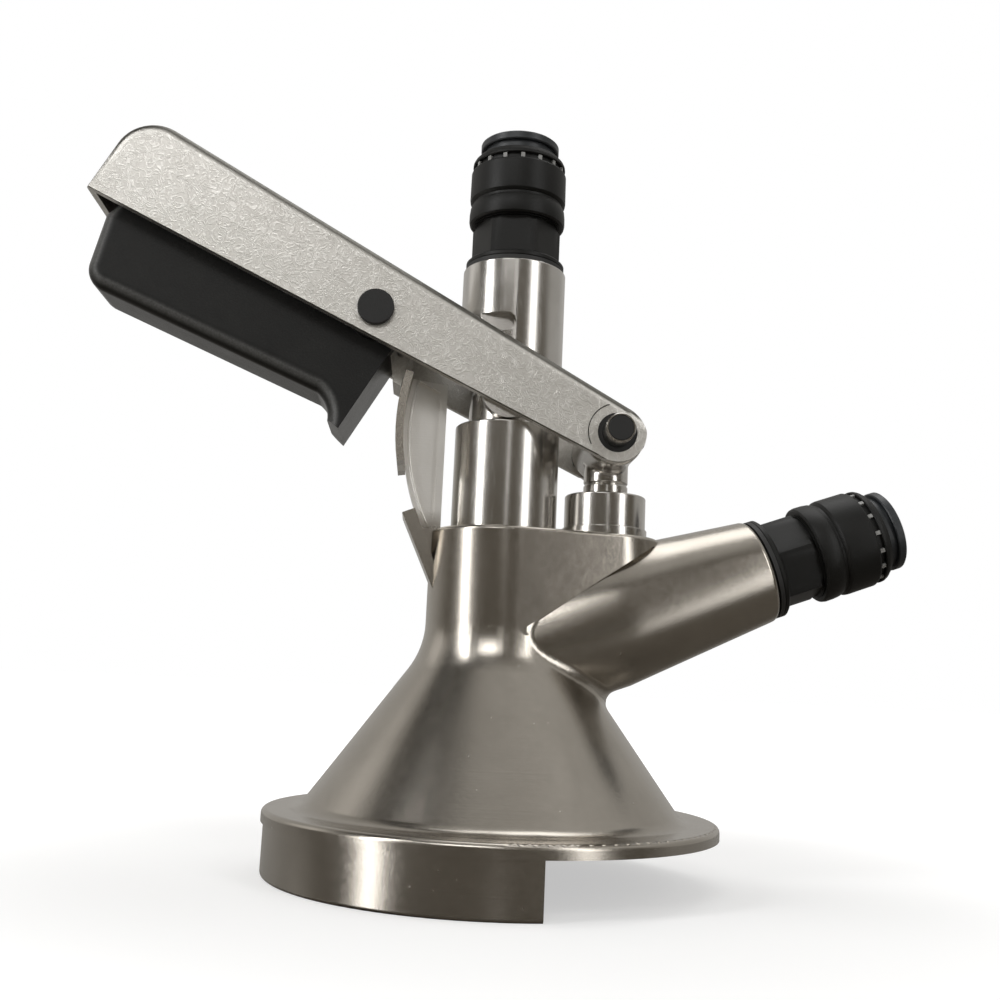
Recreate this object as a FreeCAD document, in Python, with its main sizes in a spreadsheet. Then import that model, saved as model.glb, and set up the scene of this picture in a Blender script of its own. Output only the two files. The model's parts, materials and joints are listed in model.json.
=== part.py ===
"""Slider keg coupler with a lever, a half skirt foot and two push-fit tube connectors.

Millimetres. +Z is up and the origin is on the spindle axis at the underside of the foot.
+X points along the gas arm, and the lever reaches out towards -X from its fulcrum at +X.
"""

import FreeCAD, Part
import math
import os
import re

import Sketcher
from FreeCAD import Placement, Rotation, Vector

SIZES = {
    # Foot: a half skirt that slides on to the keg neck, under a full flange disc
    "foot_radius": 50.0,
    "skirt_height": 11.2,
    "skirt_overrun": 7.0,
    "skirt_wall": 6.0,
    "lip_width": 3.0,
    "lip_height": 4.0,
    "rim_overhang": 0.6,
    "flange_top": 14.0,
    "rim_round": 1.2,
    "skirt_round": 0.8,
    # Bell and neck of the casting
    "bell_radius": 42.8,
    "bell_top": 49.7,
    "neck_radius": 16.9,
    "neck_blend": 18.0,
    "casting_top": 77.0,
    "top_round": 1.0,
    "bell_foot_blend": 4.0,
    "seal_pocket_radius": 32.0,
    "seal_pocket_depth": 3.0,
    "mouth_radius": 24.0,
    "mouth_top": 30.0,
    "chamber_foot": 42.0,
    "chamber_radius": 14.2,
    "bore_length": 17.0,
    # Gas arm: a tapered branch that leaves the spindle axis at arm_root
    "arm_root": 49.0,
    "arm_tilt": 20.3,
    "arm_length": 65.0,
    "arm_taper_start": 27.0,
    "arm_root_radius": 16.0,
    "arm_end_radius": 12.1,
    "arm_end_round": 1.6,
    "arm_blend": 3.0,
    "gas_bore_radius": 4.5,
    "valve_chamber_radius": 7.0,
    "valve_chamber_depth": 21.0,
    # Web between neck and arm, which carries the fulcrum post
    "seat_radius": 13.0,
    "seat_lip": 2.0,
    "web_root_x": 5.0,
    "web_root_rise": 6.0,
    "web_tip_overhang": 10.2,
    # Fulcrum
    "fulcrum_x": 23.8,
    "fulcrum_rise": 22.6,
    "post_ring_radius": 9.9,
    "post_ring_height": 2.2,
    "post_boss_radius": 9.5,
    "post_boss_height": 10.0,
    "post_neck_radius": 5.2,
    "post_groove_depth": 0.4,
    "post_head_radius": 7.0,
    "post_head_round": 2.2,
    "post_head_blend": 1.6,
    "post_thread_radius": 4.0,
    "post_thread_length": 10.0,
    "pin_radius": 3.35,
    "pin_stand_out": 5.0,
    "pin_cap_radius": 3.0,
    "pin_cap_depth": 3.0,
    "pin_clearance": 0.05,
    # Lever: a channel bent from sheet, open below, on the line from fulcrum to tip
    "lever_tilt": 27.0,
    "lever_length": 132.0,
    "lever_gap": 25.3,
    "sheet": 2.2,
    "hub_radius": 6.8,
    "top_flare": 1.8,
    "bottom_flare": 2.0,
    "tip_corner": 9.5,
    "bend_round": 2.6,
    "slot_past_rail": 2.0,
    "hub_hole_radius": 4.5,
    "bush_recess": 0.3,
    "run_clearance": 0.3,
    # Cam discs inside the lever walls, running in the waist of the spindle
    "cam_short": 0.8,
    "cam_radius": 6.0,
    "cam_to_waist": 0.25,
    "cam_drop": 3.7,
    "waist_play_below": 0.18,
    "waist_play_above": 0.27,
    # Guide plate with its T rail, bent round the fulcrum
    "rail_radius": 50.0,
    "rail_sheet": 1.8,
    "rail_width": 19.0,
    "rail_top_angle": 15.0,
    "rail_end_angle": 9.7,
    "notch_end_angle": 22.4,
    "plate_sheet": 6.4,
    "plate_recess": 1.0,
    "plate_rim": 1.7,
    "plate_border": 1.4,
    "panel_end_angle": 27.0,
    "plate_to_spindle": 2.4,
    "plate_rise": 11.4,
    "strip_flare": 1.3,
    "strip_sink": 1.2,
    "strip_drop": 14.2,
    "strip_foot_width": 12.0,
    # Spindle
    "spindle_radius": 12.3,
    "bore_clearance": 0.08,
    "spindle_tip": 17.0,
    "tip_flange": 2.0,
    "tip_flange_radius": 9.0,
    "probe_seal_height": 5.0,
    "probe_seal_radius": 10.2,
    "probe_core_radius": 6.6,
    "stem_radius": 8.0,
    "shank_length": 27.0,
    "waist_radius": 9.35,
    "sleeve_length": 25.97,
    "edge_break": 0.3,
    "beer_bore_radius": 4.0,
    "ball_radius": 4.75,
    "ball_chamber_radius": 6.2,
    "ball_lift": 2.4,
    "cage_height": 2.2,
    "cage_hole_radius": 3.6,
    "relief_floor": 9.4,
    "relief_height": 4.2,
    "relief_rise": 8.5,
    # Seals
    "oring_section": 1.9,
    "oring_squeeze_gap": 0.1,
    "seal_groove_play": 0.25,
    "upper_seal_drop": 6.0,
    "lower_seal_drop": 13.0,
    "face_seal_stand_out": 1.0,
    # Grip and latch, placed along and across the line from fulcrum to tip
    "pivot_past_rail": 11.3,
    "grip_pivot_drop": 2.7,
    "grip_width": 20.0,
    "grip_boss_radius": 6.3,
    "grip_round": 3.6,
    "grip_pin_radius": 3.0,
    "grip_cap_radius": 4.15,
    "grip_cap_height": 1.2,
    "grip_past_rail": 4.0,
    "grip_near_top": 4.0,
    "grip_far_short": 7.5,
    "grip_far_top": 3.0,
    "grip_heel_short": 4.7,
    "grip_heel_drop": 13.5,
    "grip_toe_short": 7.66,
    "grip_toe_drop": 25.22,
    "grip_corner_short": 13.34,
    "grip_belly_drop": 29.28,
    "grip_corner_radius": 5.4,
    "finger_stop_past_rail": 14.4,
    "finger_stop_drop": 24.9,
    "finger_stop_radius": 7.5,
    "finger_tip_width": 3.6,
    "finger_blunt_drop": 29.4,
    "finger_tip_past_rail": 5.2,
    "finger_tip_drop": 30.2,
    "hook_width": 12.0,
    "hook_sheet": 3.4,
    "hook_tang": 3.2,
    "hook_top_drop": 5.2,
    "hook_tip_drop": 13.6,
    "hook_rail_gap": 0.45,
    "hook_claw": 2.2,
    "hook_hole_radius": 0.9,
    "spring_coil_radius": 4.3,
    "spring_wire_radius": 0.5,
    "spring_pitch": 1.25,
    "spring_turns": 5.0,
    "spring_bay_width": 8.4,
    "spring_bay_radius": 5.4,
    # Push-fit connector, measured along its own axis from the face that it screws against
    "gasket_height": 1.0,
    "fit_flange_radius": 11.8,
    "fit_flange_top": 2.3,
    "fit_body_radius": 10.65,
    "fit_body_top": 11.6,
    "fit_barrel_radius": 10.2,
    "fit_barrel_top": 25.6,
    "fit_cavity_radius": 9.0,
    "fit_cavity_foot": 13.0,
    "fit_spigot_radius": 8.0,
    "fit_spigot_length": 8.0,
    "fit_waterway_radius": 4.6,
    "fit_stop_height": 8.0,
    "fit_grooves": 12.0,
    "fit_groove_width": 1.6,
    "fit_groove_depth": 0.6,
    "tube_radius": 6.35,
    "tube_clearance": 0.15,
    "cap_radius": 11.65,
    "cap_foot": 11.8,
    "cap_band_top": 17.5,
    "cap_band_groove": 0.6,
    "cap_band_depth": 0.5,
    "cap_main_top": 25.8,
    "cap_gap": 1.2,
    "cap_gap_radius": 10.6,
    "cap_rim_radius": 11.0,
    "cap_top": 28.9,
    "cap_play": 0.05,
    "collet_radius": 8.6,
    "collet_play": 0.1,
    "collet_foot": 19.4,
    "collet_flange_foot": 31.0,
    "collet_flange_radius": 9.55,
    "collet_top": 33.1,
    "tube_seal_section": 2.2,
    "spacer_height": 1.4,
    "axial_play": 0.2,
}

doc = FreeCAD.newDocument("keg_coupler")
sheet = doc.addObject("Spreadsheet::Sheet", "Sizes")
for row, (alias, size) in enumerate(SIZES.items(), start=1):
    sheet.set("A%d" % row, alias)
    sheet.set("B%d" % row, str(size))
    sheet.setAlias("B%d" % row, alias)
doc.recompute()

FULCRUM_HEIGHT = "(casting_top + fulcrum_rise)"

nodes = []


def bound(text):
    """The expression with each size read from the sheet, and the fulcrum's height worked out."""
    text = text.replace("fulcrum_height", FULCRUM_HEIGHT)
    return re.sub(r"[a-z]\w*", lambda word: "Sizes." + word[0] if word[0] in SIZES else word[0], text)


def value(text):
    """What an expression of sizes comes to now."""
    return float(sheet.evalExpression(bound(text)))


def node(label, thing):
    """Name a finished piece, which is written out as one file."""
    thing.Label = label
    nodes.append(thing)
    return thing


# Sketches

def origin_plane(body, role):
    return next(plane for plane in body.Origin.OriginFeatures if plane.Role == role)


def sketch_on(body, name, role="XZ_Plane", at=None, turn=None):
    """A sketch on one of the body's own planes, moved by at and turned about its normal."""
    sketch = body.newObject("Sketcher::SketchObject", name)
    sketch.AttachmentSupport = [(origin_plane(body, role), "")]
    sketch.MapMode = "FlatFace"
    at = at or {}
    spot = Vector(*(value(at.get(axis, "0")) for axis in "xyz"))
    angle = value(turn) if turn else 0
    sketch.AttachmentOffset = Placement(spot, Rotation(Vector(0, 0, 1), angle))
    for axis, text in at.items():
        sketch.setExpression("AttachmentOffset.Base." + axis, bound(text))
    if turn:
        sketch.setExpression("AttachmentOffset.Rotation.Angle", bound(turn))
    return sketch


def hold(sketch, kind, *where, size):
    """Add a dimension whose size is an expression of the sheet."""
    index = sketch.addConstraint(Sketcher.Constraint(kind, *where, value(size)))
    sketch.setExpression("Constraints[%d]" % index, bound(size))


def arc_through(start, end, radius, turn):
    """The arc from start to end; turn is 1 for left and -1 for right, doubled past half a circle."""
    chord = end - start
    across = Vector(-chord.y, chord.x, 0).normalize()
    rise = math.sqrt(max(radius ** 2 - chord.Length ** 2 / 4, 0))
    side = 1 if turn in (1, -2) else -1
    centre = (start + end) / 2 + across * (rise * side)
    first, last = (start, end) if turn > 0 else (end, start)
    angles = [math.atan2(point.y - centre.y, point.x - centre.x) for point in (first, last)]
    return Part.ArcOfCircle(Part.Circle(centre, Vector(0, 0, 1), radius), *angles)


def outline(sketch, corners):
    """Draw a closed outline through corners given as expressions.

    A corner (x, y) starts a straight edge and (x, y, radius, turn) starts an arc. A half circle
    stands upright in the sketch, and is held by its centre because its radius follows its ends.
    """
    spots = [Vector(value(corner[0]), value(corner[1]), 0) for corner in corners]
    ends = []
    for index, corner in enumerate(corners):
        start = spots[index]
        end = spots[(index + 1) % len(spots)]
        if len(corner) == 2:
            edge = sketch.addGeometry(Part.LineSegment(start, end))
            ends.append((edge, 1, 2))
            continue
        radius, turn = corner[2:]
        edge = sketch.addGeometry(arc_through(start, end, value(radius), turn))
        ends.append((edge, 1, 2) if turn > 0 else (edge, 2, 1))
        if (end - start).Length < 1.999 * value(radius):
            hold(sketch, "Radius", edge, size=radius)
        else:
            hold(sketch, "DistanceX", edge, 3, size=corner[0])
    for index, (edge, first, last) in enumerate(ends):
        following, join, _ = ends[(index + 1) % len(ends)]
        sketch.addConstraint(Sketcher.Constraint("Coincident", edge, last, following, join))
        hold(sketch, "DistanceX", edge, first, size=corners[index][0])
        hold(sketch, "DistanceY", edge, first, size=corners[index][1])
    if sketch.solve() != 0:
        raise RuntimeError(sketch.Label + " has dimensions that don't agree")
    return sketch


def circle(sketch, x, y, radius):
    """Draw a circle with its centre and radius given as expressions."""
    centre = Vector(value(x), value(y), 0)
    edge = sketch.addGeometry(Part.Circle(centre, Vector(0, 0, 1), value(radius)))
    hold(sketch, "DistanceX", edge, 3, size=x)
    hold(sketch, "DistanceY", edge, 3, size=y)
    hold(sketch, "Radius", edge, size=radius)
    return sketch


def band(inner, outer, foot, top):
    """The outline of a ring's section."""
    return [(inner, foot), (outer, foot), (outer, top), (inner, top)]


# Features

def new_body(name):
    return doc.addObject("PartDesign::Body", name)


def revolve(body, name, sketch, kind="Revolution", axis="V_Axis"):
    feature = body.newObject("PartDesign::" + kind, name)
    feature.Profile = sketch
    feature.ReferenceAxis = (sketch, [axis])
    feature.Angle = 360
    doc.recompute()
    return feature


def pad(body, name, sketch, length, midplane=True):
    feature = body.newObject("PartDesign::Pad", name)
    feature.Profile = sketch
    feature.Midplane = midplane
    feature.setExpression("Length", bound(length))
    doc.recompute()
    return feature


def pocket(body, name, sketch, length=None, midplane=True, reverse=False):
    """Cut a profile, through everything unless a length is given."""
    before = body.Shape.Volume
    feature = body.newObject("PartDesign::Pocket", name)
    feature.Profile = sketch
    feature.Midplane = midplane
    feature.Reversed = reverse
    if length:
        feature.setExpression("Length", bound(length))
    else:
        feature.Type = "ThroughAll"
    doc.recompute()
    if feature.Shape.Volume >= before - 1e-3:
        raise RuntimeError(name + " cuts nothing")
    return feature


def groove(body, name, sketch, axis="V_Axis"):
    before = body.Shape.Volume
    feature = revolve(body, name, sketch, "Groove", axis)
    if feature.Shape.Volume >= before - 1e-3:
        raise RuntimeError(name + " cuts nothing")
    return feature


def soften(body, name, size, chosen, kind="Fillet"):
    """Round or chamfer the edges of the tip for which chosen(edge) is true."""
    base = body.Tip
    names = ["Edge%d" % number for number, edge in enumerate(base.Shape.Edges, start=1) if chosen(edge)]
    if not names:
        raise RuntimeError(name + " finds no edge")
    feature = body.newObject("PartDesign::" + kind, name)
    feature.Base = (base, names)
    feature.setExpression("Radius" if kind == "Fillet" else "Size", bound(size))
    doc.recompute()
    return feature


def is_ring(edge, radius, height):
    """Whether an edge is a circle of this radius about the vertical axis at this height."""
    curve = edge.Curve
    if curve.TypeId != "Part::GeomCircle":
        return False
    same_size = abs(curve.Radius - value(radius)) < 1e-3
    return same_size and abs(curve.Center.z - value(height)) < 1e-3


def turned(name, corners):
    """A body turned about its own vertical axis from one closed section."""
    body = new_body(name)
    revolve(body, name + "_turning", outline(sketch_on(body, name + "_section"), corners))
    return body


def oring(label, centre_radius, section, height):
    """A round-section ring lying level at a height."""
    ring = doc.addObject("Part::Torus", label)
    ring.setExpression("Radius1", bound(centre_radius))
    ring.setExpression("Radius2", bound("(%s) / 2" % section))
    place(ring, z=height)
    return ring


def rod(label, radius, length, x="0", z="0", y=None):
    """A round bar across the coupler, centred on the middle plane unless y is its near end."""
    bar = doc.addObject("Part::Cylinder", label)
    bar.Placement = Placement(Vector(0, 0, 0), Rotation(Vector(1, 0, 0), 90))
    bar.setExpression("Radius", bound(radius))
    bar.setExpression("Height", bound(length))
    place(bar, x=x, y=y or "(%s) / 2" % length, z=z)
    return bar


def place(thing, **spots):
    for axis, text in spots.items():
        thing.setExpression("Placement.Base." + axis, bound(text))


def joined(kind, label, *things):
    """A boolean of whole pieces: Cut takes a base and a tool, MultiFuse takes any number."""
    result = doc.addObject("Part::" + kind, label)
    if kind == "Cut":
        result.Base, result.Tool = things
    else:
        result.Shapes = list(things)
    return result


def across_lever(reach, rise):
    """Expressions for a spot given along the lever from the fulcrum and square to it."""
    x = "fulcrum_x - (%s) * cos(lever_tilt) + (%s) * sin(lever_tilt)" % (reach, rise)
    z = "fulcrum_height + (%s) * sin(lever_tilt) + (%s) * cos(lever_tilt)" % (reach, rise)
    return x, z


SLOT_RADIUS = "(foot_radius - skirt_wall)"
RIM_RADIUS = "(foot_radius + rim_overhang)"
POST_BOSS_TOP = "(casting_top + post_boss_height)"
PLATE_INNER_X = "-(spindle_radius + plate_to_spindle)"
STRIP_FOOT = ("-(neck_radius - strip_sink)", "(casting_top - strip_drop)")
PIVOT_REACH = "(rail_radius + pivot_past_rail)"
NEAR_REACH = "(rail_radius + grip_past_rail)"
SLOT_END = "(rail_radius + slot_past_rail)"
CAM_REACH = "(fulcrum_x / cos(lever_tilt) - cam_short)"
CAM_HEIGHT = "(fulcrum_height + %s * sin(lever_tilt) - cam_drop * cos(lever_tilt))" % CAM_REACH
WAIST_FOOT = "(%s - cam_radius - waist_play_below)" % CAM_HEIGHT
WAIST_TOP = "(%s + cam_radius + waist_play_above)" % CAM_HEIGHT
SLEEVE_TOP = "(%s + sleeve_length)" % WAIST_TOP
SHANK_FOOT = "(casting_top - shank_length)"
LEVER_FRAME = {"at": {"x": "fulcrum_x", "y": "fulcrum_height"}, "turn": "-lever_tilt"}
ARM_FRAME = {"at": {"y": "arm_root"}, "turn": "arm_tilt"}
LEVER_WIDTH = "(lever_gap + 2 * sheet)"
GRIP_PIVOT = across_lever(PIVOT_REACH, "-grip_pivot_drop")
SEAL_CENTRE = "(spindle_radius + oring_squeeze_gap + oring_section / 2)"
BORE = "(spindle_radius + bore_clearance)"
CAGE_FOOT = SLEEVE_TOP + " - fit_spigot_length - axial_play - cage_height"
BALL_CENTRE = CAGE_FOOT + " - sqrt(ball_radius ^ 2 - cage_hole_radius ^ 2) - ball_lift - axial_play"
BALL_SEAT = BALL_CENTRE + " - sqrt(ball_radius ^ 2 - beer_bore_radius ^ 2) - axial_play"


# Casting

def make_casting():
    """Foot, bell, neck, gas arm, web and guide rail, cast in one piece and bored."""
    body = new_body("casting")

    web = sketch_on(body, "web_plan", "XY_Plane", at={"z": "bell_top"})
    lean = "asin((neck_radius - seat_radius) / fulcrum_x)"
    neck_side = ("neck_radius * sin(%s)" % lean, "neck_radius * cos(%s)" % lean)
    seat_side = ("fulcrum_x + seat_radius * sin(%s)" % lean, "seat_radius * cos(%s)" % lean)
    outline(web, [
        (neck_side[0], "-" + neck_side[1]),
        (seat_side[0], "-" + seat_side[1], "seat_radius", 1),
        seat_side,
        neck_side,
    ])
    pad(body, "web", web, "casting_top - bell_top", midplane=False)
    under = sketch_on(body, "web_underside")
    outline(under, [
        ("web_root_x", "0"),
        ("foot_radius", "0"),
        ("foot_radius", "casting_top - seat_lip"),
        ("fulcrum_x + web_tip_overhang", "casting_top - seat_lip"),
        ("web_root_x", "arm_root + web_root_rise"),
    ])
    pocket(body, "web_slope", under)

    bell = sketch_on(body, "bell_section")
    slope = "atan((bell_radius - neck_radius) / (bell_top - flange_top))"
    run = "(neck_blend * tan(%s / 2))" % slope
    outline(bell, [
        ("0", "skirt_height"),
        (RIM_RADIUS, "skirt_height"),
        (RIM_RADIUS, "flange_top"),
        ("bell_radius", "flange_top"),
        ("neck_radius + %s * sin(%s)" % (run, slope), "bell_top - %s * cos(%s)" % (run, slope),
         "neck_blend", -1),
        ("neck_radius", "bell_top + " + run),
        ("neck_radius", "casting_top"),
        ("0", "casting_top"),
    ])
    revolve(body, "bell", bell)
    soften(body, "top_lip", "top_round", is_top_edge)
    soften(body, "rim_edge", "rim_round", lambda edge: is_ring(edge, RIM_RADIUS, "flange_top"))
    soften(body, "bell_foot", "bell_foot_blend", lambda edge: is_ring(edge, "bell_radius", "flange_top"))

    skirt = sketch_on(body, "skirt_section")
    lip_radius = SLOT_RADIUS + " - lip_width"
    outline(skirt, [
        (lip_radius, "0"),
        ("foot_radius", "0"),
        ("foot_radius", "skirt_height"),
        (SLOT_RADIUS, "skirt_height"),
        (SLOT_RADIUS, "lip_height"),
        (lip_radius, "lip_height"),
    ])
    revolve(body, "skirt", skirt)
    soften(body, "skirt_edge", "skirt_round", lambda edge: is_ring(edge, "foot_radius", "0"))
    mouth = sketch_on(body, "mouth_cut", "XY_Plane")
    outline(mouth, [
        ("skirt_overrun", "-2 * foot_radius"),
        ("2 * foot_radius", "-2 * foot_radius"),
        ("2 * foot_radius", "2 * foot_radius"),
        ("skirt_overrun", "2 * foot_radius"),
    ])
    pocket(body, "open_side", mouth, "skirt_height", midplane=False, reverse=True)

    arm = sketch_on(body, "arm_section", **ARM_FRAME)
    outline(arm, [
        ("0", "0"),
        ("arm_length", "0"),
        ("arm_length", "arm_end_radius"),
        ("arm_taper_start", "arm_root_radius"),
        ("0", "arm_root_radius"),
    ])
    revolve(body, "arm", arm, axis="H_Axis")
    soften(body, "arm_end_edge", "arm_end_round", is_arm_end)
    soften(body, "arm_root_blend", "arm_blend", is_arm_root)

    plate = sketch_on(body, "guide_side")
    back = "(rail_radius - rail_sheet)"
    outline(plate, [
        (PLATE_INNER_X, STRIP_FOOT[1]),
        (PLATE_INNER_X, "fulcrum_height + plate_rise"),
        rail_spot(back, "-rail_top_angle") + (back, 1),
        rail_spot(back, "notch_end_angle"),
        STRIP_FOOT,
    ])
    pad(body, "guide_plate", plate, "plate_sheet")
    inner = "(rail_radius - rail_sheet - plate_border)"
    floor = "(plate_sheet / 2 - plate_recess)"
    for side, depth, outward in (("front", floor, True), ("back", "-" + floor, False)):
        panel = sketch_on(body, "panel_" + side, at={"z": depth})
        outline(panel, [
            (PLATE_INNER_X + " - plate_rim", "casting_top + plate_border"),
            (PLATE_INNER_X + " - plate_rim", "fulcrum_height + plate_rise - plate_rim"),
            rail_spot(inner, "-rail_top_angle") + (inner, 1),
            rail_spot(inner, "panel_end_angle"),
        ])
        pocket(body, "panel_cut_" + side, panel, "rail_width", midplane=False, reverse=outward)
    rail = sketch_on(body, "rail_side")
    outline(rail, [
        rail_spot("rail_radius", "-rail_top_angle") + ("rail_radius", 1),
        rail_spot("rail_radius", "rail_end_angle"),
        rail_spot(back, "rail_end_angle") + (back, -1),
        rail_spot(back, "-rail_top_angle"),
    ])
    pad(body, "rail", rail, "rail_width")
    strip = sketch_on(body, "strip_side")
    outline(strip, [
        rail_spot("(rail_radius + strip_flare)", "notch_end_angle"),
        STRIP_FOOT,
        (STRIP_FOOT[0] + " + rail_sheet", STRIP_FOOT[1] + " + rail_sheet"),
        rail_spot(back, "notch_end_angle"),
    ])
    pad(body, "strip", strip, "strip_foot_width")
    return body


def is_top_edge(edge):
    """Whether an edge bounds the casting's flat top."""
    return all(abs(vertex.Point.z - value("casting_top")) < 1e-3 for vertex in edge.Vertexes)


def is_arm_end(edge):
    """Whether an edge is the rim of the gas arm."""
    curve = edge.Curve
    return curve.TypeId == "Part::GeomCircle" and abs(curve.Radius - value("arm_end_radius")) < 1e-3


def is_arm_root(edge):
    """Whether an edge is where the arm's underside runs into the bell."""
    middle = edge.valueAt((edge.FirstParameter + edge.LastParameter) / 2)
    below = middle.z < value("arm_root") + middle.x * math.tan(math.radians(value("arm_tilt")))
    on_bell = value("bell_radius") * 0.9 > math.hypot(middle.x, middle.y) > value("neck_radius") * 1.02
    crossing = edge.Curve.TypeId == "Part::GeomBSplineCurve"
    return crossing and below and on_bell and middle.x > 0


def rail_spot(radius, angle):
    """A spot at a radius from the fulcrum, at an angle below the level through it."""
    x = "fulcrum_x - %s * cos(%s)" % (radius, angle)
    z = "fulcrum_height - %s * sin(%s)" % (radius, angle)
    return x, z


def bore_casting(body):
    """The gas chamber, spindle bore, seal grooves, gas way and thread holes."""
    chamber = sketch_on(body, "chamber_section")
    groove_depth = "(spindle_radius + oring_squeeze_gap + oring_section + seal_groove_play)"
    half_groove = "(oring_section / 2 + seal_groove_play)"
    corners = [
        ("0", "0"),
        ("seal_pocket_radius", "0"),
        ("seal_pocket_radius", "skirt_height + seal_pocket_depth"),
        ("mouth_radius", "skirt_height + seal_pocket_depth"),
        ("mouth_radius", "mouth_top"),
        ("chamber_radius", "chamber_foot"),
        ("chamber_radius", "casting_top - bore_length"),
        (BORE, "casting_top - bore_length"),
    ]
    for height in ("casting_top - lower_seal_drop", "casting_top - upper_seal_drop"):
        corners += [
            (BORE, "%s - %s" % (height, half_groove)),
            (groove_depth, "%s - %s" % (height, half_groove)),
            (groove_depth, "%s + %s" % (height, half_groove)),
            (BORE, "%s + %s" % (height, half_groove)),
        ]
    corners += [(BORE, "casting_top + 1"), ("0", "casting_top + 1")]
    outline(chamber, corners)
    groove(body, "chamber", chamber)

    gas_way = sketch_on(body, "gas_way_section", **ARM_FRAME)
    outline(gas_way, [
        ("0", "0"),
        ("0", "gas_bore_radius"),
        ("arm_length - valve_chamber_depth", "gas_bore_radius"),
        ("arm_length - valve_chamber_depth", "valve_chamber_radius"),
        ("arm_length - fit_spigot_length - axial_play", "valve_chamber_radius"),
        ("arm_length - fit_spigot_length - axial_play", "fit_spigot_radius + cap_play"),
        ("arm_length + 1", "fit_spigot_radius + cap_play"),
        ("arm_length + 1", "0"),
    ])
    groove(body, "gas_way", gas_way, axis="H_Axis")

    thread = sketch_on(body, "post_hole", "XY_Plane", at={"z": "casting_top"})
    circle(thread, "fulcrum_x", "0", "post_thread_radius + cap_play")
    pocket(body, "post_thread_hole", thread, "post_thread_length + axial_play", midplane=False)


def make_post():
    """Fulcrum post: thread, boss, grooved neck and a round head between the lever walls."""
    body = new_body("post")
    place(body, x="fulcrum_x")
    boss_foot = "casting_top + post_ring_height"
    line_height = "(%s + fulcrum_height - post_head_radius) / 2" % POST_BOSS_TOP
    section = sketch_on(body, "post_section")
    outline(section, [
        ("0", "casting_top - post_thread_length"),
        ("post_thread_radius", "casting_top - post_thread_length"),
        ("post_thread_radius", boss_foot),
        ("post_boss_radius", boss_foot),
        ("post_boss_radius", POST_BOSS_TOP),
        ("post_neck_radius", POST_BOSS_TOP),
        ("post_neck_radius", line_height + " - post_groove_depth"),
        ("post_neck_radius - post_groove_depth", line_height),
        ("post_neck_radius", line_height + " + post_groove_depth"),
        ("post_neck_radius", "fulcrum_height"),
        ("0", "fulcrum_height"),
    ])
    revolve(body, "post_turning", section)
    soften(body, "post_edge", "edge_break", lambda edge: is_ring(edge, "post_boss_radius", POST_BOSS_TOP),
           "Chamfer")
    head = circle(sketch_on(body, "head_side"), "0", "fulcrum_height", "post_head_radius")
    pad(body, "head", head, "lever_gap - 2 * run_clearance")
    half = "(lever_gap / 2 - run_clearance)"
    soften(body, "head_edge", "post_head_round", lambda edge: is_end_ring(edge, "post_head_radius", half))
    soften(body, "head_blend", "post_head_blend", is_head_root)
    hole = circle(sketch_on(body, "pin_hole_side"), "0", "fulcrum_height", "pin_radius + pin_clearance")
    pocket(body, "pin_hole", hole)
    return body


def is_head_root(edge):
    """Whether an edge is where the post's neck runs into its head."""
    middle = edge.valueAt((edge.FirstParameter + edge.LastParameter) / 2)
    on_neck = abs(math.hypot(middle.x, middle.y) - value("post_neck_radius")) < 1e-2
    return on_neck and middle.z > value("fulcrum_height - post_head_radius") - 1e-3


def is_end_ring(edge, radius, half):
    """Whether an edge is a circle of this radius about a crosswise axis, at the given half width."""
    curve = edge.Curve
    if curve.TypeId != "Part::GeomCircle":
        return False
    return abs(curve.Radius - value(radius)) < 1e-3 and abs(abs(curve.Center.y) - value(half)) < 1e-3


# Lever

def lever_edge(reach, side):
    """A spot on the lever's top (1) or bottom (-1) edge line at a reach from the fulcrum."""
    flare = "top_flare" if side > 0 else "bottom_flare"
    sign = "" if side > 0 else "-"
    return "-(%s)" % reach, "%s(hub_radius / cos(%s) + (%s) * tan(%s))" % (sign, flare, reach, flare)


def make_lever():
    """Channel with a rounded hub, its web slotted where spindle and guide pass."""
    body = new_body("channel")
    side = sketch_on(body, "lever_side", **LEVER_FRAME)
    shoulder = lever_edge("lever_length - tip_corner", 1)
    outline(side, [
        ("-hub_radius * sin(bottom_flare)", "-hub_radius * cos(bottom_flare)", "hub_radius", 2),
        ("-hub_radius * sin(top_flare)", "hub_radius * cos(top_flare)"),
        shoulder + ("tip_corner", 1),
        ("-lever_length", shoulder[1] + " - tip_corner"),
        lever_edge("lever_length", -1),
    ])
    circle(side, "0", "0", "hub_hole_radius")
    circle(side, "-" + PIVOT_REACH, "-grip_pivot_drop", "grip_pin_radius")
    pad(body, "lever_block", side, LEVER_WIDTH)
    half = value(LEVER_WIDTH) / 2
    top_line = value("lever_tilt + top_flare")
    soften(body, "sheet_bend", "bend_round", lambda edge: is_bend(edge, half, top_line))
    inside = sketch_on(body, "lever_inside", **LEVER_FRAME)
    clear = "2 * hub_radius"
    shoulder_inside = shoulder[1] + " - sheet"
    outline(inside, [
        (clear, "-lever_length / 4"),
        (clear, "lever_length / 4"),
        ("-" + SLOT_END, "lever_length / 4"),
        ("-" + SLOT_END, lever_edge(SLOT_END, 1)[1] + " - sheet"),
        (shoulder[0], shoulder_inside, "tip_corner - sheet", 1),
        ("-(lever_length - sheet)", shoulder_inside + " - tip_corner + sheet"),
        ("-(lever_length - sheet)", "-lever_length / 4"),
    ])
    pocket(body, "lever_hollow", inside, "lever_gap")
    return body


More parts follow.
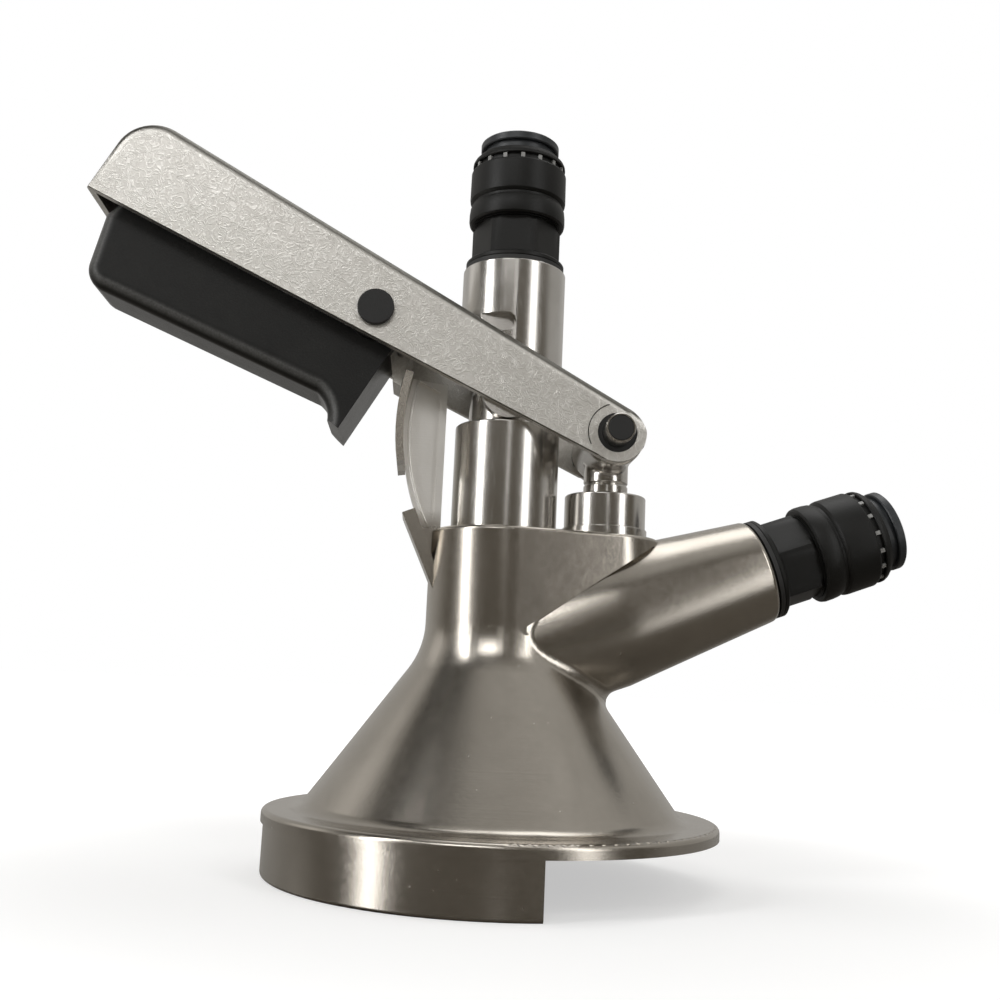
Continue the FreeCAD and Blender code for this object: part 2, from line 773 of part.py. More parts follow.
def is_bend(edge, half, top_line):
    """Whether an edge is one of the long upper edges of the lever, or its run round the tip."""
    if any(abs(abs(vertex.Point.y) - half) > 1e-3 for vertex in edge.Vertexes):
        return False
    first, last = (edge.Vertexes[0].Point, edge.Vertexes[-1].Point)
    run = last - first
    if abs(run.y) > 1e-3:
        return False
    hub = Vector(value("fulcrum_x"), first.y, value("fulcrum_height"))
    if edge.Curve.TypeId == "Part::GeomCircle":
        return abs(edge.Curve.Radius - value("tip_corner")) < 1e-3
    slope = math.degrees(math.atan2(abs(run.z), abs(run.x)))
    longer = run.Length > value("lever_length") / 2
    return longer and abs(slope - top_line) < 0.1 and max(first.z, last.z) > hub.z


def make_cam_discs():
    """The pair of discs inside the walls that carry the spindle up and down."""
    thickness = "(lever_gap / 2 - waist_radius - cam_to_waist)"
    x, z = across_lever(CAM_REACH, "-cam_drop")
    front = rod("cam_disc_front", "cam_radius", thickness, x, z, y="-(waist_radius + cam_to_waist)")
    back = rod("cam_disc_back", "cam_radius", thickness, x, z, y="lever_gap / 2")
    return joined("MultiFuse", "cam_disc_pair", front, back)


def make_bushes():
    """A bush in each wall for the fulcrum pin."""
    length = "(sheet - bush_recess)"
    sides = ("-lever_gap / 2", "lever_gap / 2 + " + length)
    rings = [rod("bush_%d" % number, "hub_hole_radius", length, "fulcrum_x", "fulcrum_height", y=end)
             for number, end in enumerate(sides)]
    hole = rod("bush_bore", "pin_radius + pin_clearance", LEVER_WIDTH, "fulcrum_x", "fulcrum_height")
    return joined("Cut", "bush_pair", joined("MultiFuse", "bush_blanks", *rings), hole)


def make_fulcrum_pin():
    """Pin through post and lever, drilled at both ends for its caps."""
    length = "(%s + 2 * pin_stand_out)" % LEVER_WIDTH
    bar = rod("fulcrum_bar", "pin_radius", length, "fulcrum_x", "fulcrum_height")
    drilled = joined("Cut", "drilled_pin", bar, pin_plugs("drill", length))
    return drilled, pin_plugs("cap", length)


def pin_plugs(name, length):
    ends = ("-(%s / 2 - pin_cap_depth)" % length, "%s / 2" % length)
    plugs = [rod("%s_%d" % (name, number), "pin_cap_radius", "pin_cap_depth", "fulcrum_x",
                 "fulcrum_height", y=end) for number, end in enumerate(ends)]
    return joined("MultiFuse", name + "_pair", *plugs)


# Grip and latch

def make_grip():
    """Moulded grip, round-edged, with a boss on its pin and a bay for the spring."""
    body = new_body("moulding")
    side = sketch_on(body, "grip_side", **LEVER_FRAME)
    tip = "(rail_radius + finger_tip_past_rail)"
    outline(side, [
        ("-" + NEAR_REACH, "-grip_near_top"),
        ("-" + PIVOT_REACH, "grip_boss_radius - grip_pivot_drop"),
        ("-(lever_length - grip_far_short)", "-grip_far_top"),
        ("-(lever_length - grip_heel_short)", "-grip_heel_drop"),
        ("-(lever_length - grip_toe_short)", "-grip_toe_drop", "grip_corner_radius", 1),
        ("-(lever_length - grip_corner_short)", "-grip_belly_drop"),
        ("-(rail_radius + finger_stop_past_rail)", "-finger_stop_drop", "finger_stop_radius", -1),
        ("-(%s + finger_tip_width)" % tip, "-finger_blunt_drop"),
        ("-" + tip, "-finger_tip_drop"),
    ])
    pad(body, "grip_block", side, "grip_width")
    half = value("grip_width / 2")
    soften(body, "grip_edges", "grip_round", lambda edge: is_outline_edge(edge, half))
    boss = sketch_on(body, "grip_boss_side", **LEVER_FRAME)
    circle(boss, "-" + PIVOT_REACH, "-grip_pivot_drop", "grip_boss_radius")
    pad(body, "grip_boss", boss, "lever_gap - 2 * run_clearance")
    bay = sketch_on(body, "spring_bay_side", **LEVER_FRAME)
    circle(bay, "-" + PIVOT_REACH, "-grip_pivot_drop", "spring_bay_radius")
    pocket(body, "spring_bay", bay, "spring_bay_width")
    hole = sketch_on(body, "grip_hole_side", **LEVER_FRAME)
    circle(hole, "-" + PIVOT_REACH, "-grip_pivot_drop", "grip_pin_radius + pin_clearance")
    pocket(body, "grip_hole", hole)
    slot = sketch_on(body, "hook_slot_side", **LEVER_FRAME)
    outline(slot, [
        ("-(%s + hook_tang)" % NEAR_REACH, "-(hook_top_drop - cap_play)"),
        ("-(%s + hook_tang)" % NEAR_REACH, "-(hook_top_drop + hook_sheet + cap_play)"),
        ("-%s + hook_tang" % NEAR_REACH, "-(hook_top_drop + hook_sheet + cap_play)"),
        ("-%s + hook_tang" % NEAR_REACH, "-(hook_top_drop - cap_play)"),
    ])
    pocket(body, "hook_slot", slot, "hook_width + 2 * cap_play")
    return body


def is_outline_edge(edge, half):
    """Whether an edge bounds a flank of the grip and runs outboard of its pivot."""
    ends = [vertex.Point for vertex in edge.Vertexes]
    if any(abs(abs(end.y) - half) > 1e-3 for end in ends) or abs(ends[0].y - ends[-1].y) > 1e-3:
        return False
    tilt = math.radians(value("lever_tilt"))
    hub = Vector(value("fulcrum_x"), 0, value("fulcrum_height"))
    reach = max((hub.x - end.x) * math.cos(tilt) + (end.z - hub.z) * math.sin(tilt) for end in ends)
    return reach > value(PIVOT_REACH) + 1


def make_hook():
    """Steel hook seated in the grip, its claw just outside the guide rail."""
    body = new_body("hook")
    clear = "(rail_radius + hook_rail_gap)"
    root_drop = "(hook_top_drop + hook_sheet)"

    def claw_face(drop):
        return "-sqrt(%s * %s - %s * %s)" % (clear, clear, drop, drop)

    side = sketch_on(body, "hook_side", **LEVER_FRAME)
    outline(side, [
        ("-(%s + hook_tang - cap_play)" % NEAR_REACH, "-hook_top_drop"),
        ("-(%s + hook_tang - cap_play)" % NEAR_REACH, "-" + root_drop),
        ("-%s + cap_play" % NEAR_REACH, "-" + root_drop),
        (claw_face("hook_tip_drop") + " - hook_claw", "-hook_tip_drop"),
        (claw_face("hook_tip_drop"), "-hook_tip_drop", clear, -1),
        (claw_face("hook_top_drop"), "-hook_top_drop"),
    ])
    pad(body, "hook_block", side, "hook_width")
    eye = sketch_on(body, "hook_eye_side", **LEVER_FRAME)
    circle(eye, claw_face("hook_top_drop") + " - hook_claw", "-(hook_top_drop + hook_sheet / 2)",
           "hook_hole_radius")
    pocket(body, "hook_eye", eye)
    return body


def make_grip_pin():
    """Pin across the lever walls with a black button over each end."""
    bar = rod("grip_bar", "grip_pin_radius", LEVER_WIDTH, *GRIP_PIVOT)
    ends = ("-%s / 2" % LEVER_WIDTH, "%s / 2 + grip_cap_height" % LEVER_WIDTH)
    caps = [rod("button_%d" % number, "grip_cap_radius", "grip_cap_height", *GRIP_PIVOT, y=end)
            for number, end in enumerate(ends)]
    return bar, joined("MultiFuse", "button_pair", *caps)


def make_spring():
    """Torsion spring round the grip pin, in the bay of the grip."""
    radius = value("spring_coil_radius")
    turns = value("spring_turns")
    pitch = value("spring_pitch")
    path = Part.Wire(Part.makeHelix(pitch, pitch * turns, radius).Edges)
    section = Part.Wire(Part.makeCircle(value("spring_wire_radius"), Vector(radius, 0, 0), Vector(0, 1, 0)))
    coil = path.makePipeShell([section], True, True)
    spring = doc.addObject("Part::Feature", "torsion_spring")
    spring.Shape = coil
    spot = Vector(value(GRIP_PIVOT[0]), pitch * turns / 2, value(GRIP_PIVOT[1]))
    spring.Placement = Placement(spot, Rotation(Vector(1, 0, 0), 90))
    return spring


# Spindle

def make_spindle():
    """Hollow spindle: sealed tip, stem, polished shank, waist for the cam discs and sleeve."""
    seal_top = "spindle_tip + tip_flange + probe_seal_height"
    body = turned("spindle_bar", [
        ("beer_bore_radius", "spindle_tip"),
        ("tip_flange_radius", "spindle_tip"),
        ("tip_flange_radius", "spindle_tip + tip_flange"),
        ("probe_core_radius", "spindle_tip + tip_flange"),
        ("probe_core_radius", seal_top),
        ("stem_radius", seal_top),
        ("stem_radius", SHANK_FOOT),
        ("spindle_radius", SHANK_FOOT),
        ("spindle_radius", WAIST_FOOT),
        ("waist_radius", WAIST_FOOT),
        ("waist_radius", WAIST_TOP),
        ("spindle_radius", WAIST_TOP),
        ("spindle_radius", SLEEVE_TOP),
        ("fit_spigot_radius + cap_play", SLEEVE_TOP),
        ("fit_spigot_radius + cap_play", CAGE_FOOT),
        ("ball_chamber_radius", CAGE_FOOT),
        ("ball_chamber_radius", BALL_SEAT),
        ("beer_bore_radius", BALL_SEAT),
    ])
    levels = (SHANK_FOOT, WAIST_FOOT, WAIST_TOP, SLEEVE_TOP)
    soften(body, "spindle_edges", "edge_break",
           lambda edge: any(is_ring(edge, "spindle_radius", level) for level in levels), "Chamfer")
    end = "relief_height / 2"
    foot = WAIST_TOP + " + relief_rise"
    for side, depth, outward in (("front", "relief_floor", True), ("back", "-relief_floor", False)):
        pocket_side = sketch_on(body, "relief_" + side, at={"z": depth})
        outline(pocket_side, [
            ("-2 * spindle_radius", foot),
            ("-" + end, foot, end, 1),
            ("-" + end, foot + " + relief_height"),
            ("-2 * spindle_radius", foot + " + relief_height"),
        ])
        pocket(body, "relief_cut_" + side, pocket_side, "spindle_radius", midplane=False, reverse=outward)
    return body


def make_face_seal():
    """Broad ring under the bell that seals on the keg valve."""
    return turned("face_seal", band(
        "mouth_radius", "seal_pocket_radius",
        "skirt_height - face_seal_stand_out", "skirt_height + seal_pocket_depth"))


def make_probe_seal():
    return turned("tip_seal", band(
        "probe_core_radius", "probe_seal_radius",
        "spindle_tip + tip_flange", "spindle_tip + tip_flange + probe_seal_height"))


def make_ball():
    """Check ball resting just clear of its seat."""
    ball = doc.addObject("Part::Sphere", "ball")
    ball.setExpression("Radius", bound("ball_radius"))
    place(ball, z=BALL_CENTRE)
    return ball


def make_cage():
    """Ring that keeps the check ball under the connector."""
    return turned("cage", band(
        "cage_hole_radius", "fit_spigot_radius + cap_play", CAGE_FOOT, CAGE_FOOT + " + cage_height"))


# Push-fit connectors

def make_connector(name):
    """The pieces of one push-fit connector, each turned about the connector's own axis."""
    tube_way = "(tube_radius + tube_clearance)"
    body = turned(name + "_shell", [
        ("fit_waterway_radius", "-fit_spigot_length"),
        ("fit_spigot_radius", "-fit_spigot_length"),
        ("fit_spigot_radius", "gasket_height"),
        ("fit_flange_radius", "gasket_height"),
        ("fit_flange_radius", "fit_flange_top"),
        ("fit_body_radius", "fit_flange_top"),
        ("fit_body_radius", "fit_body_top"),
        ("fit_barrel_radius", "fit_body_top"),
        ("fit_barrel_radius", "fit_barrel_top"),
        ("fit_cavity_radius", "fit_barrel_top"),
        ("fit_cavity_radius", "fit_cavity_foot"),
        (tube_way, "fit_cavity_foot"),
        (tube_way, "fit_stop_height"),
        ("fit_waterway_radius", "fit_stop_height"),
    ])
    flute = sketch_on(body, name + "_flute", "XY_Plane", at={"z": "fit_flange_top"})
    outline(flute, [
        ("fit_body_radius - fit_groove_depth", "-fit_groove_width / 2"),
        ("fit_body_radius + fit_groove_depth", "-fit_groove_width / 2"),
        ("fit_body_radius + fit_groove_depth", "fit_groove_width / 2"),
        ("fit_body_radius - fit_groove_depth", "fit_groove_width / 2"),
    ])
    cut = pocket(body, name + "_flute_cut", flute, "fit_body_top - fit_flange_top", midplane=False,
                 reverse=True)
    flutes = body.newObject("PartDesign::PolarPattern", name + "_flutes")
    flutes.Originals = [cut]
    flutes.Axis = (flute, ["N_Axis"])
    flutes.Angle = 360
    flutes.setExpression("Occurrences", bound("fit_grooves"))
    body.Tip = flutes
    doc.recompute()

    cap = turned(name + "_cap", [
        ("fit_barrel_radius + cap_play", "cap_foot"),
        ("cap_radius", "cap_foot"),
        ("cap_radius", "cap_band_top"),
        ("cap_radius - cap_band_depth", "cap_band_top"),
        ("cap_radius - cap_band_depth", "cap_band_top + cap_band_groove"),
        ("cap_radius", "cap_band_top + cap_band_groove"),
        ("cap_radius", "cap_main_top"),
        ("cap_gap_radius", "cap_main_top"),
        ("cap_gap_radius", "cap_main_top + cap_gap"),
        ("cap_rim_radius", "cap_main_top + cap_gap"),
        ("cap_rim_radius", "cap_top"),
        ("collet_radius + collet_play", "cap_top"),
        ("collet_radius + collet_play", "fit_barrel_top + axial_play"),
        ("fit_barrel_radius + cap_play", "fit_barrel_top + axial_play"),
    ])
    collet = turned(name + "_collet", [
        (tube_way, "collet_foot"),
        ("collet_radius", "collet_foot"),
        ("collet_radius", "collet_flange_foot"),
        ("collet_flange_radius", "collet_flange_foot"),
        ("collet_flange_radius", "collet_top"),
        (tube_way, "collet_top"),
    ])
    gasket = turned(name + "_gasket", band("fit_spigot_radius", "fit_flange_radius", "0", "gasket_height"))
    seal = turned(name + "_tube_seal", band(
        tube_way, "fit_cavity_radius", "fit_cavity_foot", "fit_cavity_foot + tube_seal_section"))
    spacer_foot = "fit_cavity_foot + tube_seal_section"
    spacer = turned(name + "_spacer", band(
        tube_way, "fit_cavity_radius", spacer_foot, spacer_foot + " + spacer_height"))
    return {"connector_body": body, "connector_cap": cap, "collet": collet, "port_gasket": gasket,
            "tube_seal": seal, "tube_seal_spacer": spacer}


def seat_on_sleeve(piece):
    place(piece, z=SLEEVE_TOP)


def seat_on_arm(piece):
    piece.Placement = Placement(Vector(0, 0, 0), Rotation(Vector(0, 1, 0), 90 - value("arm_tilt")))
    piece.setExpression("Placement.Rotation.Angle", bound("90 - arm_tilt"))
    place(piece, x="arm_length * cos(arm_tilt)", z="arm_root + arm_length * sin(arm_tilt)")


def make_gas_valve():
    """Rubber duckbill that lets gas in and nothing back, and the ring that holds it."""
    flange_top = "-(fit_spigot_length + axial_play)"
    duckbill = turned("duckbill", [
        ("0", flange_top + " - valve_chamber_depth / 2"),
        ("gas_bore_radius / 2", flange_top + " - valve_chamber_depth / 2"),
        ("gas_bore_radius", flange_top + " - 3 * spacer_height"),
        ("gas_bore_radius", flange_top + " - 2 * spacer_height"),
        ("valve_chamber_radius", flange_top + " - 2 * spacer_height"),
        ("valve_chamber_radius", flange_top + " - spacer_height"),
        ("gas_bore_radius - axial_play", flange_top + " - spacer_height"),
        ("0", flange_top + " - valve_chamber_depth / 2 + spacer_height"),
    ])
    ring = turned("valve_ring", band(
        "gas_bore_radius", "valve_chamber_radius", flange_top + " - spacer_height", flange_top))
    return duckbill, ring


# Assembly

casting = make_casting()
bore_casting(casting)
node("coupler_body", casting)
node("keg_face_seal", make_face_seal())
for level in ("lower", "upper"):
    seal_height = "casting_top - %s_seal_drop" % level
    node(level + "_spindle_seal", oring(level + "_ring", SEAL_CENTRE, "oring_section", seal_height))
node("fulcrum_post", make_post())
base_ring = turned("base_ring", band("post_thread_radius + cap_play", "post_ring_radius", "casting_top",
                                     "casting_top + post_ring_height"))
place(base_ring, x="fulcrum_x")
node("post_base_ring", base_ring)
fulcrum_pin, fulcrum_caps = make_fulcrum_pin()
node("fulcrum_pin", fulcrum_pin)
node("fulcrum_pin_caps", fulcrum_caps)

node("lever_channel", make_lever())
node("lever_bushes", make_bushes())
node("cam_discs", make_cam_discs())
grip_pin, grip_buttons = make_grip_pin()
node("grip_pin", grip_pin)
node("grip_pin_buttons", grip_buttons)

node("lever_grip", make_grip())
node("latch_hook", make_hook())
node("latch_spring", make_spring())

spindle = make_spindle()
node("spindle", spindle)
node("probe_seal", make_probe_seal())
node("check_ball", make_ball())
node("ball_cage", make_cage())

for port, seat in (("beer", seat_on_sleeve), ("gas", seat_on_arm)):
    for piece_name, piece in make_connector(port).items():
        seat(piece)
        node("%s_%s" % (port, piece_name), piece)
for piece_name, piece in zip(("gas_duckbill_valve", "gas_valve_ring"), make_gas_valve()):
    seat_on_arm(piece)
    node(piece_name, piece)

doc.recompute()
for thing in doc.Objects:
    if {"Invalid", "Error"} & set(thing.State):
        raise RuntimeError("%s is %s" % (thing.Label, thing.State))
for piece in nodes:
    if piece.Shape.isNull() or not piece.Shape.isValid():
        raise RuntimeError(piece.Label + " has no valid shape")

os.makedirs("parts", exist_ok=True)
for piece in nodes:
    piece.Shape.exportStep("parts/%s.step" % piece.Label)
    print("%-24s %d solids %10.1f mm3" % (piece.Label, len(piece.Shape.Solids), piece.Shape.Volume))
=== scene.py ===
import json
import math

import bmesh
import bpy
from mathutils import Matrix, Vector


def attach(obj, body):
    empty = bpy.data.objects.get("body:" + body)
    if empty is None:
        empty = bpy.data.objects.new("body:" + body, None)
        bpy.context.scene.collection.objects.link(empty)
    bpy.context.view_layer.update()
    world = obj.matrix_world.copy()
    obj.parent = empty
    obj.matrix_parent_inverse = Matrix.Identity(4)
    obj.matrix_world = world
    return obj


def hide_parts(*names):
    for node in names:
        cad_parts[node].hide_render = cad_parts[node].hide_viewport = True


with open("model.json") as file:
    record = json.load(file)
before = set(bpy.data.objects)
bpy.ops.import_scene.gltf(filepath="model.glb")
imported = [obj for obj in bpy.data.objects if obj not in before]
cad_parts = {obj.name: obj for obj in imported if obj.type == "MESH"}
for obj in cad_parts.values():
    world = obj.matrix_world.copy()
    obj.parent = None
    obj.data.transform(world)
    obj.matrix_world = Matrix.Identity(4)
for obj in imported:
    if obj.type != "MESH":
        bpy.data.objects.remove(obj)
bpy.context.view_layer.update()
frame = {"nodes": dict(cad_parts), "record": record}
MM = 0.001

# Directions in the object's own frame
UP = Vector((0, 0, 1))
ACROSS = Vector((0, 1, 0))
FRONT = Vector((0, -1, 0))
LEFT = Vector((-1, 0, 0))

# Camera, in metres and degrees, where the photo was taken from
CAMERA_AWAY = 0.26313
CAMERA_HEIGHT = 0.04241
CAMERA_ROUND = 4.0
CAMERA_YAW = -0.228
CAMERA_PITCH = 9.21
CAMERA_ROLL = 2.61
CAMERA_LENS = 40.86

# Softboxes, in metres and watts: place, height of the point they face, width, height and power
SOFTBOXES = {
    "tall_left": ((-0.80, -0.46, 0.35), 0.09, 0.15, 1.10, 4.9),
    "tall_right": ((0.66, -0.74, 0.35), 0.09, 0.22, 1.10, 3.1),
    "front_slot": ((0.01, -1.10, 0.55), 0.09, 0.07, 0.66, 0.24),
    "front_top": ((-0.30, -0.90, 0.76), 0.09, 0.50, 0.26, 2.0),
    "overhead": ((0.10, 0.22, 1.00), 0.05, 0.70, 0.50, 2.4),
}

# The room that the metal mirrors: its own colour, and over it patches of a colour round a
# direction, from the low to the high share of that direction
ROOM_DIM = (0.095, 0.082, 0.062, 1)
ROOM_PATCHES = [
    ((0.50, 0.49, 0.47, 1), (0, 1, 0), -0.05, 0.75),
    ((0.55, 0.54, 0.52, 1), (0.62, 0.1, 0.80), 0.72, 0.97),
    ((0.42, 0.41, 0.39, 1), (0.97, 0.22, 0.25), 0.88, 0.99),
    ((0.85, 0.83, 0.80, 1), (-0.90, 0.30, 0.50), 0.93, 0.99),
    ((0.03, 0.027, 0.02, 1), (-0.50, -0.30, 0.75), 0.74, 0.92),
    ((0.50, 0.49, 0.47, 1), (0.05, -0.15, 1), 0.86, 0.97),
]
PAPER_WHITE = (1, 1, 1, 1)

# Floor, in metres: half its side, its sheen at grazing angles, and how its shadow fades outwards
FLOOR_HALF = 6.0
FLOOR_PALE = (0.55, 0.55, 0.55, 1)
FLOOR_MIRRORED = (0.17, 0.155, 0.135, 1)
FLOOR_SHEEN = 0.75
FLOOR_SHEEN_ROUGHNESS = 0.12
FLOOR_SHEEN_EDGE = (0.45, 0.90)
FLOOR_GLOW = 0.51
FLOOR_GLOW_EDGE = (0.07, 0.26)

# Colours, linear red, green and blue
CAST_LIGHT = (0.52, 0.485, 0.435, 1)
CAST_DARK = (0.37, 0.342, 0.30, 1)
PANEL_PALE = (0.92, 0.90, 0.86, 1)
TURNED = (0.66, 0.64, 0.61, 1)
TURNED_DULL = (0.55, 0.53, 0.50, 1)
BLASTED_LIGHT = (0.82, 0.805, 0.765, 1)
BLASTED_DARK = (0.60, 0.58, 0.54, 1)
# Painted shade for the lever's bends, standing in for the dark room that they mirror
BEND_PAINTED_SHADE = (0.13, 0.125, 0.11, 1)
SEAM_DARK = (0.02, 0.018, 0.015, 1)
SPRING = (0.42, 0.42, 0.42, 1)
PLUG_BLACK = (0.008, 0.008, 0.008, 1)
GRIP_BLACK = (0.004, 0.004, 0.0037, 1)
GRIP_GREY = (0.020, 0.020, 0.018, 1)
# Painted highlight laid along the grip's rounded edges
PAINTED_HIGHLIGHT_GREY = (0.16, 0.16, 0.155, 1)
CONNECTOR_BLACK = (0.005, 0.005, 0.0045, 1)
CONNECTOR_GREY = (0.012, 0.012, 0.0105, 1)
COLLET_BLUE = (0.018, 0.021, 0.024, 1)
COLLET_LIGHT = (0.035, 0.040, 0.045, 1)
FOOD_WHITE = (0.78, 0.78, 0.76, 1)
LUG_GREY = (0.30, 0.30, 0.29, 1)
RUBBER_BLACK = (0.02, 0.02, 0.02, 1)

# Welding, sharp edges and broken edges of the meshes
WELD = 0.002 * MM
FLAT = math.radians(0.05)
CREASE = math.radians(24)
PIN_CREASE = math.radians(12)
EDGE_STEPS = 2
SHADING_WEIGHT = 80

# Fulcrum, in millimetres: its place, half the pin's length, the depth of the plugs, and the
# sections of the pin's end and of a plug, as radius and height from the end of the pin
FULCRUM = Vector((23.8, 0, 99.6))
PIN_END = 19.85
PLUG_DEPTH = 2.9
PIN_END_SECTION = [
    (2.4, -PLUG_DEPTH), (2.88, -PLUG_DEPTH), (2.88, -0.12), (2.96, 0), (3.2, 0), (3.35, -0.18),
]
PLUG_SECTION = [(0, -PLUG_DEPTH), (2.86, -PLUG_DEPTH), (2.86, -0.12), (2.72, -0.02), (0, 0)]

# Arcs marked about the fulcrum, in metres: radius, half width, direction and the share of that
# direction where they end
PLATE_RIM = (0.0470, 0.0003, LEFT, 0.3)
HUB_SEAM = (0.0066, 0.00017, (-0.92, 0, 0.39), 0.64)
ARC_FADE = 0.02

# Panel of the guide plate, in metres: soft edges to the left, upwards and across
PANEL_LEFT = (0.0143, 0.0146)
PANEL_UP = (0.076, 0.082)
PANEL_ACROSS = (0.0038, 0.0035)

# Lever, in millimetres: half its width, its sheet, its bend and hub, and the directions along and
# out of its lower edge in X and Z
LEVER_HALF = 14.85
SHEET = 2.2
BEND = 2.6
HUB_RADIUS = 6.8
LEVER_RUN = Vector((0.90636, -0.42250))
LEVER_DOWN = Vector((-0.42250, -0.90636))

# Squaring of the lever's bend: how near a point lies to the bend, the bend's middle in degrees, the
# degrees beyond it that the sheet takes up, and where round the hub it starts and over what length
ON_BEND = 0.04
ON_FLANK = 0.01
ON_FACE = 0.001
BEND_MIDDLE = 45
SHEET_TURN = 36.1
SQUARE_FROM = -6.6
SQUARE_OVER = 3.5

# Ports: where each connector sits, its axis, and how its hexagon is turned from facing the front
ARM_TILT = math.radians(20.3)
ARM_LINE = Vector((math.cos(ARM_TILT), 0, math.sin(ARM_TILT)))
ARM_ROOT = 49.0
ARM_LENGTH = 65.0
SLEEVE_TOP = 140.31
PORTS = {
    "beer": (SLEEVE_TOP * UP, UP, -8.0),
    "gas": (ARM_ROOT * UP + ARM_LENGTH * ARM_LINE, ARM_LINE, 17.0),
}

# Lugs in the slot under a cap's rim, in millimetres above the seat and out from the axis
LUGS = 16
LUG_HEIGHT = 26.12
LUG_REACH = 10.72

# Sections of the connector, as radius and height above its seat in millimetres, and the limit that
# a hexagon's corners are cut to
SEGMENTS = 96
HEX_FLAT = 9.25
HEX_CORNER = 10.62
SHELL_SECTION = [
    (4.6, -8.0), (7.7, -8.0), (8.0, -7.7), (8.0, 1.0), (11.55, 1.0), (11.8, 1.25), (11.8, 1.95),
    (11.45, 2.3), (9.5, 2.3, HEX_CORNER), (9.5, 10.7, HEX_CORNER), (9.5, 11.6, 9.75), (9.5, 11.65),
    (10.2, 11.65), (10.2, 25.55), (9.0, 25.55), (9.0, 13.05), (6.5, 13.05), (6.5, 8.0), (4.6, 8.0),
]
CAP_SECTION = [
    (10.25, 11.85), (11.0, 11.85), (11.45, 12.2), (11.62, 12.9), (11.6, 14.6), (11.45, 15.9),
    (11.2, 16.5), (10.85, 16.75), (10.85, 17.3), (11.2, 17.55), (11.55, 17.95), (11.64, 18.6),
    (11.58, 25.0), (11.4, 25.35), (11.1, 25.5), (10.5, 25.5), (10.5, 26.75), (11.1, 26.75),
    (11.3, 26.95), (11.25, 27.5), (11.0, 28.0), (10.6, 28.2), (10.35, 28.75), (10.1, 28.88),
    (8.72, 28.88), (8.72, 25.82), (10.25, 25.82),
]
COLLET_SECTION = [
    (6.52, 19.4), (8.6, 19.4), (8.6, 31.0), (9.35, 31.0), (9.55, 31.25), (9.55, 32.7), (9.2, 33.0),
    (8.5, 33.05), (8.3, 32.6), (7.4, 32.4), (7.1, 32.95), (6.8, 33.0), (6.52, 32.8),
]

NUMBER = "NodeSocketFloat"
VECTOR = "NodeSocketVector"


def link(thing):
    """Puts a new object in the scene."""
    bpy.context.scene.collection.objects.link(thing)
    return thing


def add(tree, kind, **settings):
    """A node of that kind, with its settings."""
    made = tree.nodes.new(kind)
    for name, value in settings.items():
        setattr(made, name, value)
    return made


def feed(tree, value, socket):
    """A number, colour or vector is set on the socket, and another node's socket is wired to it."""
    if isinstance(value, bpy.types.NodeSocket):
        tree.links.new(value, socket)
    else:
        socket.default_value = value


def maths(tree, operation, *values, clamped=False):
    """The result of one operation on numbers or sockets."""
    made = add(tree, "ShaderNodeMath", operation=operation, use_clamp=clamped)
    for value, socket in zip(values, made.inputs):
        feed(tree, value, socket)
    return made.outputs[0]


def along(tree, where, line):
    """The distance along a direction."""
    dot = add(tree, "ShaderNodeVectorMath", operation="DOT_PRODUCT")
    dot.inputs[1].default_value = line
    feed(tree, where, dot.inputs[0])
    return dot.outputs["Value"]


def step(tree, value, low, high, below=0.0, above=1.0, way="SMOOTHSTEP"):
    """below up to low, above from high on, and gradual between."""
    edge = add(tree, "ShaderNodeMapRange", interpolation_type=way)
    feed(tree, value, edge.inputs["Value"])
    feed(tree, low, edge.inputs["From Min"])
    feed(tree, high, edge.inputs["From Max"])
    feed(tree, below, edge.inputs["To Min"])
    feed(tree, above, edge.inputs["To Max"])
    return edge.outputs[0]


def band(tree, value, rise, fall):
    """1 between two soft edges and 0 beyond them."""
    return maths(tree, "SUBTRACT", step(tree, value, *rise), step(tree, value, *fall))


def between(tree, mask, low, high):
    """A number between low and high, by the mask."""
    return step(tree, mask, 0.0, 1.0, low, high, way="LINEAR")


def plus(tree, first, second, share=1.0):
    """first plus a share of second."""
    return maths(tree, "MULTIPLY_ADD", second, share, first)


def blend_colours(tree, mask, first, second):
    """A colour between first and second, by the mask."""
    mix = add(tree, "ShaderNodeMix", data_type="RGBA")
    feed(tree, mask, mix.inputs[0])
    feed(tree, first, mix.inputs[6])
    feed(tree, second, mix.inputs[7])
    return mix.outputs[2]


def noise(tree, where, scale, **settings):
    """A noise of that scale, with its other sockets' values."""
    made = add(tree, "ShaderNodeTexNoise")
    feed(tree, where, made.inputs["Vector"])
    feed(tree, scale, made.inputs["Scale"])
    for name, value in settings.items():
        made.inputs[name].default_value = value
    return made.outputs["Fac"]


def set_camera():
    """The camera stands low in front of the foot and looks a little up, with a small roll."""
    yaw = math.radians(CAMERA_YAW)
    pitch = math.radians(CAMERA_PITCH)
    roll = math.radians(CAMERA_ROLL)
    flat = math.cos(pitch)
    ahead = Vector((math.sin(yaw) * flat, math.cos(yaw) * flat, math.sin(pitch)))
    level = Vector((math.cos(yaw), -math.sin(yaw), 0))
    above = level.cross(ahead)
    right = math.cos(roll) * level + math.sin(roll) * above
    up = math.cos(roll) * above - math.sin(roll) * level
    turn = Matrix.Rotation(-math.radians(CAMERA_ROUND), 3, "Z")
    aim = Matrix((turn @ right, turn @ up, turn @ -ahead)).transposed().to_4x4()
    place = turn @ Vector((0, -CAMERA_AWAY, CAMERA_HEIGHT))
    camera = link(bpy.data.objects.new("camera", bpy.data.cameras.new("camera")))
    camera.matrix_world = Matrix.Translation(place) @ aim
    camera.data.sensor_width = 36
    camera.data.lens = CAMERA_LENS
    camera.data.clip_start = 0.01
    camera.data.clip_end = 50
    bpy.context.scene.camera = camera
    bpy.context.scene.view_settings.view_transform = "Standard"


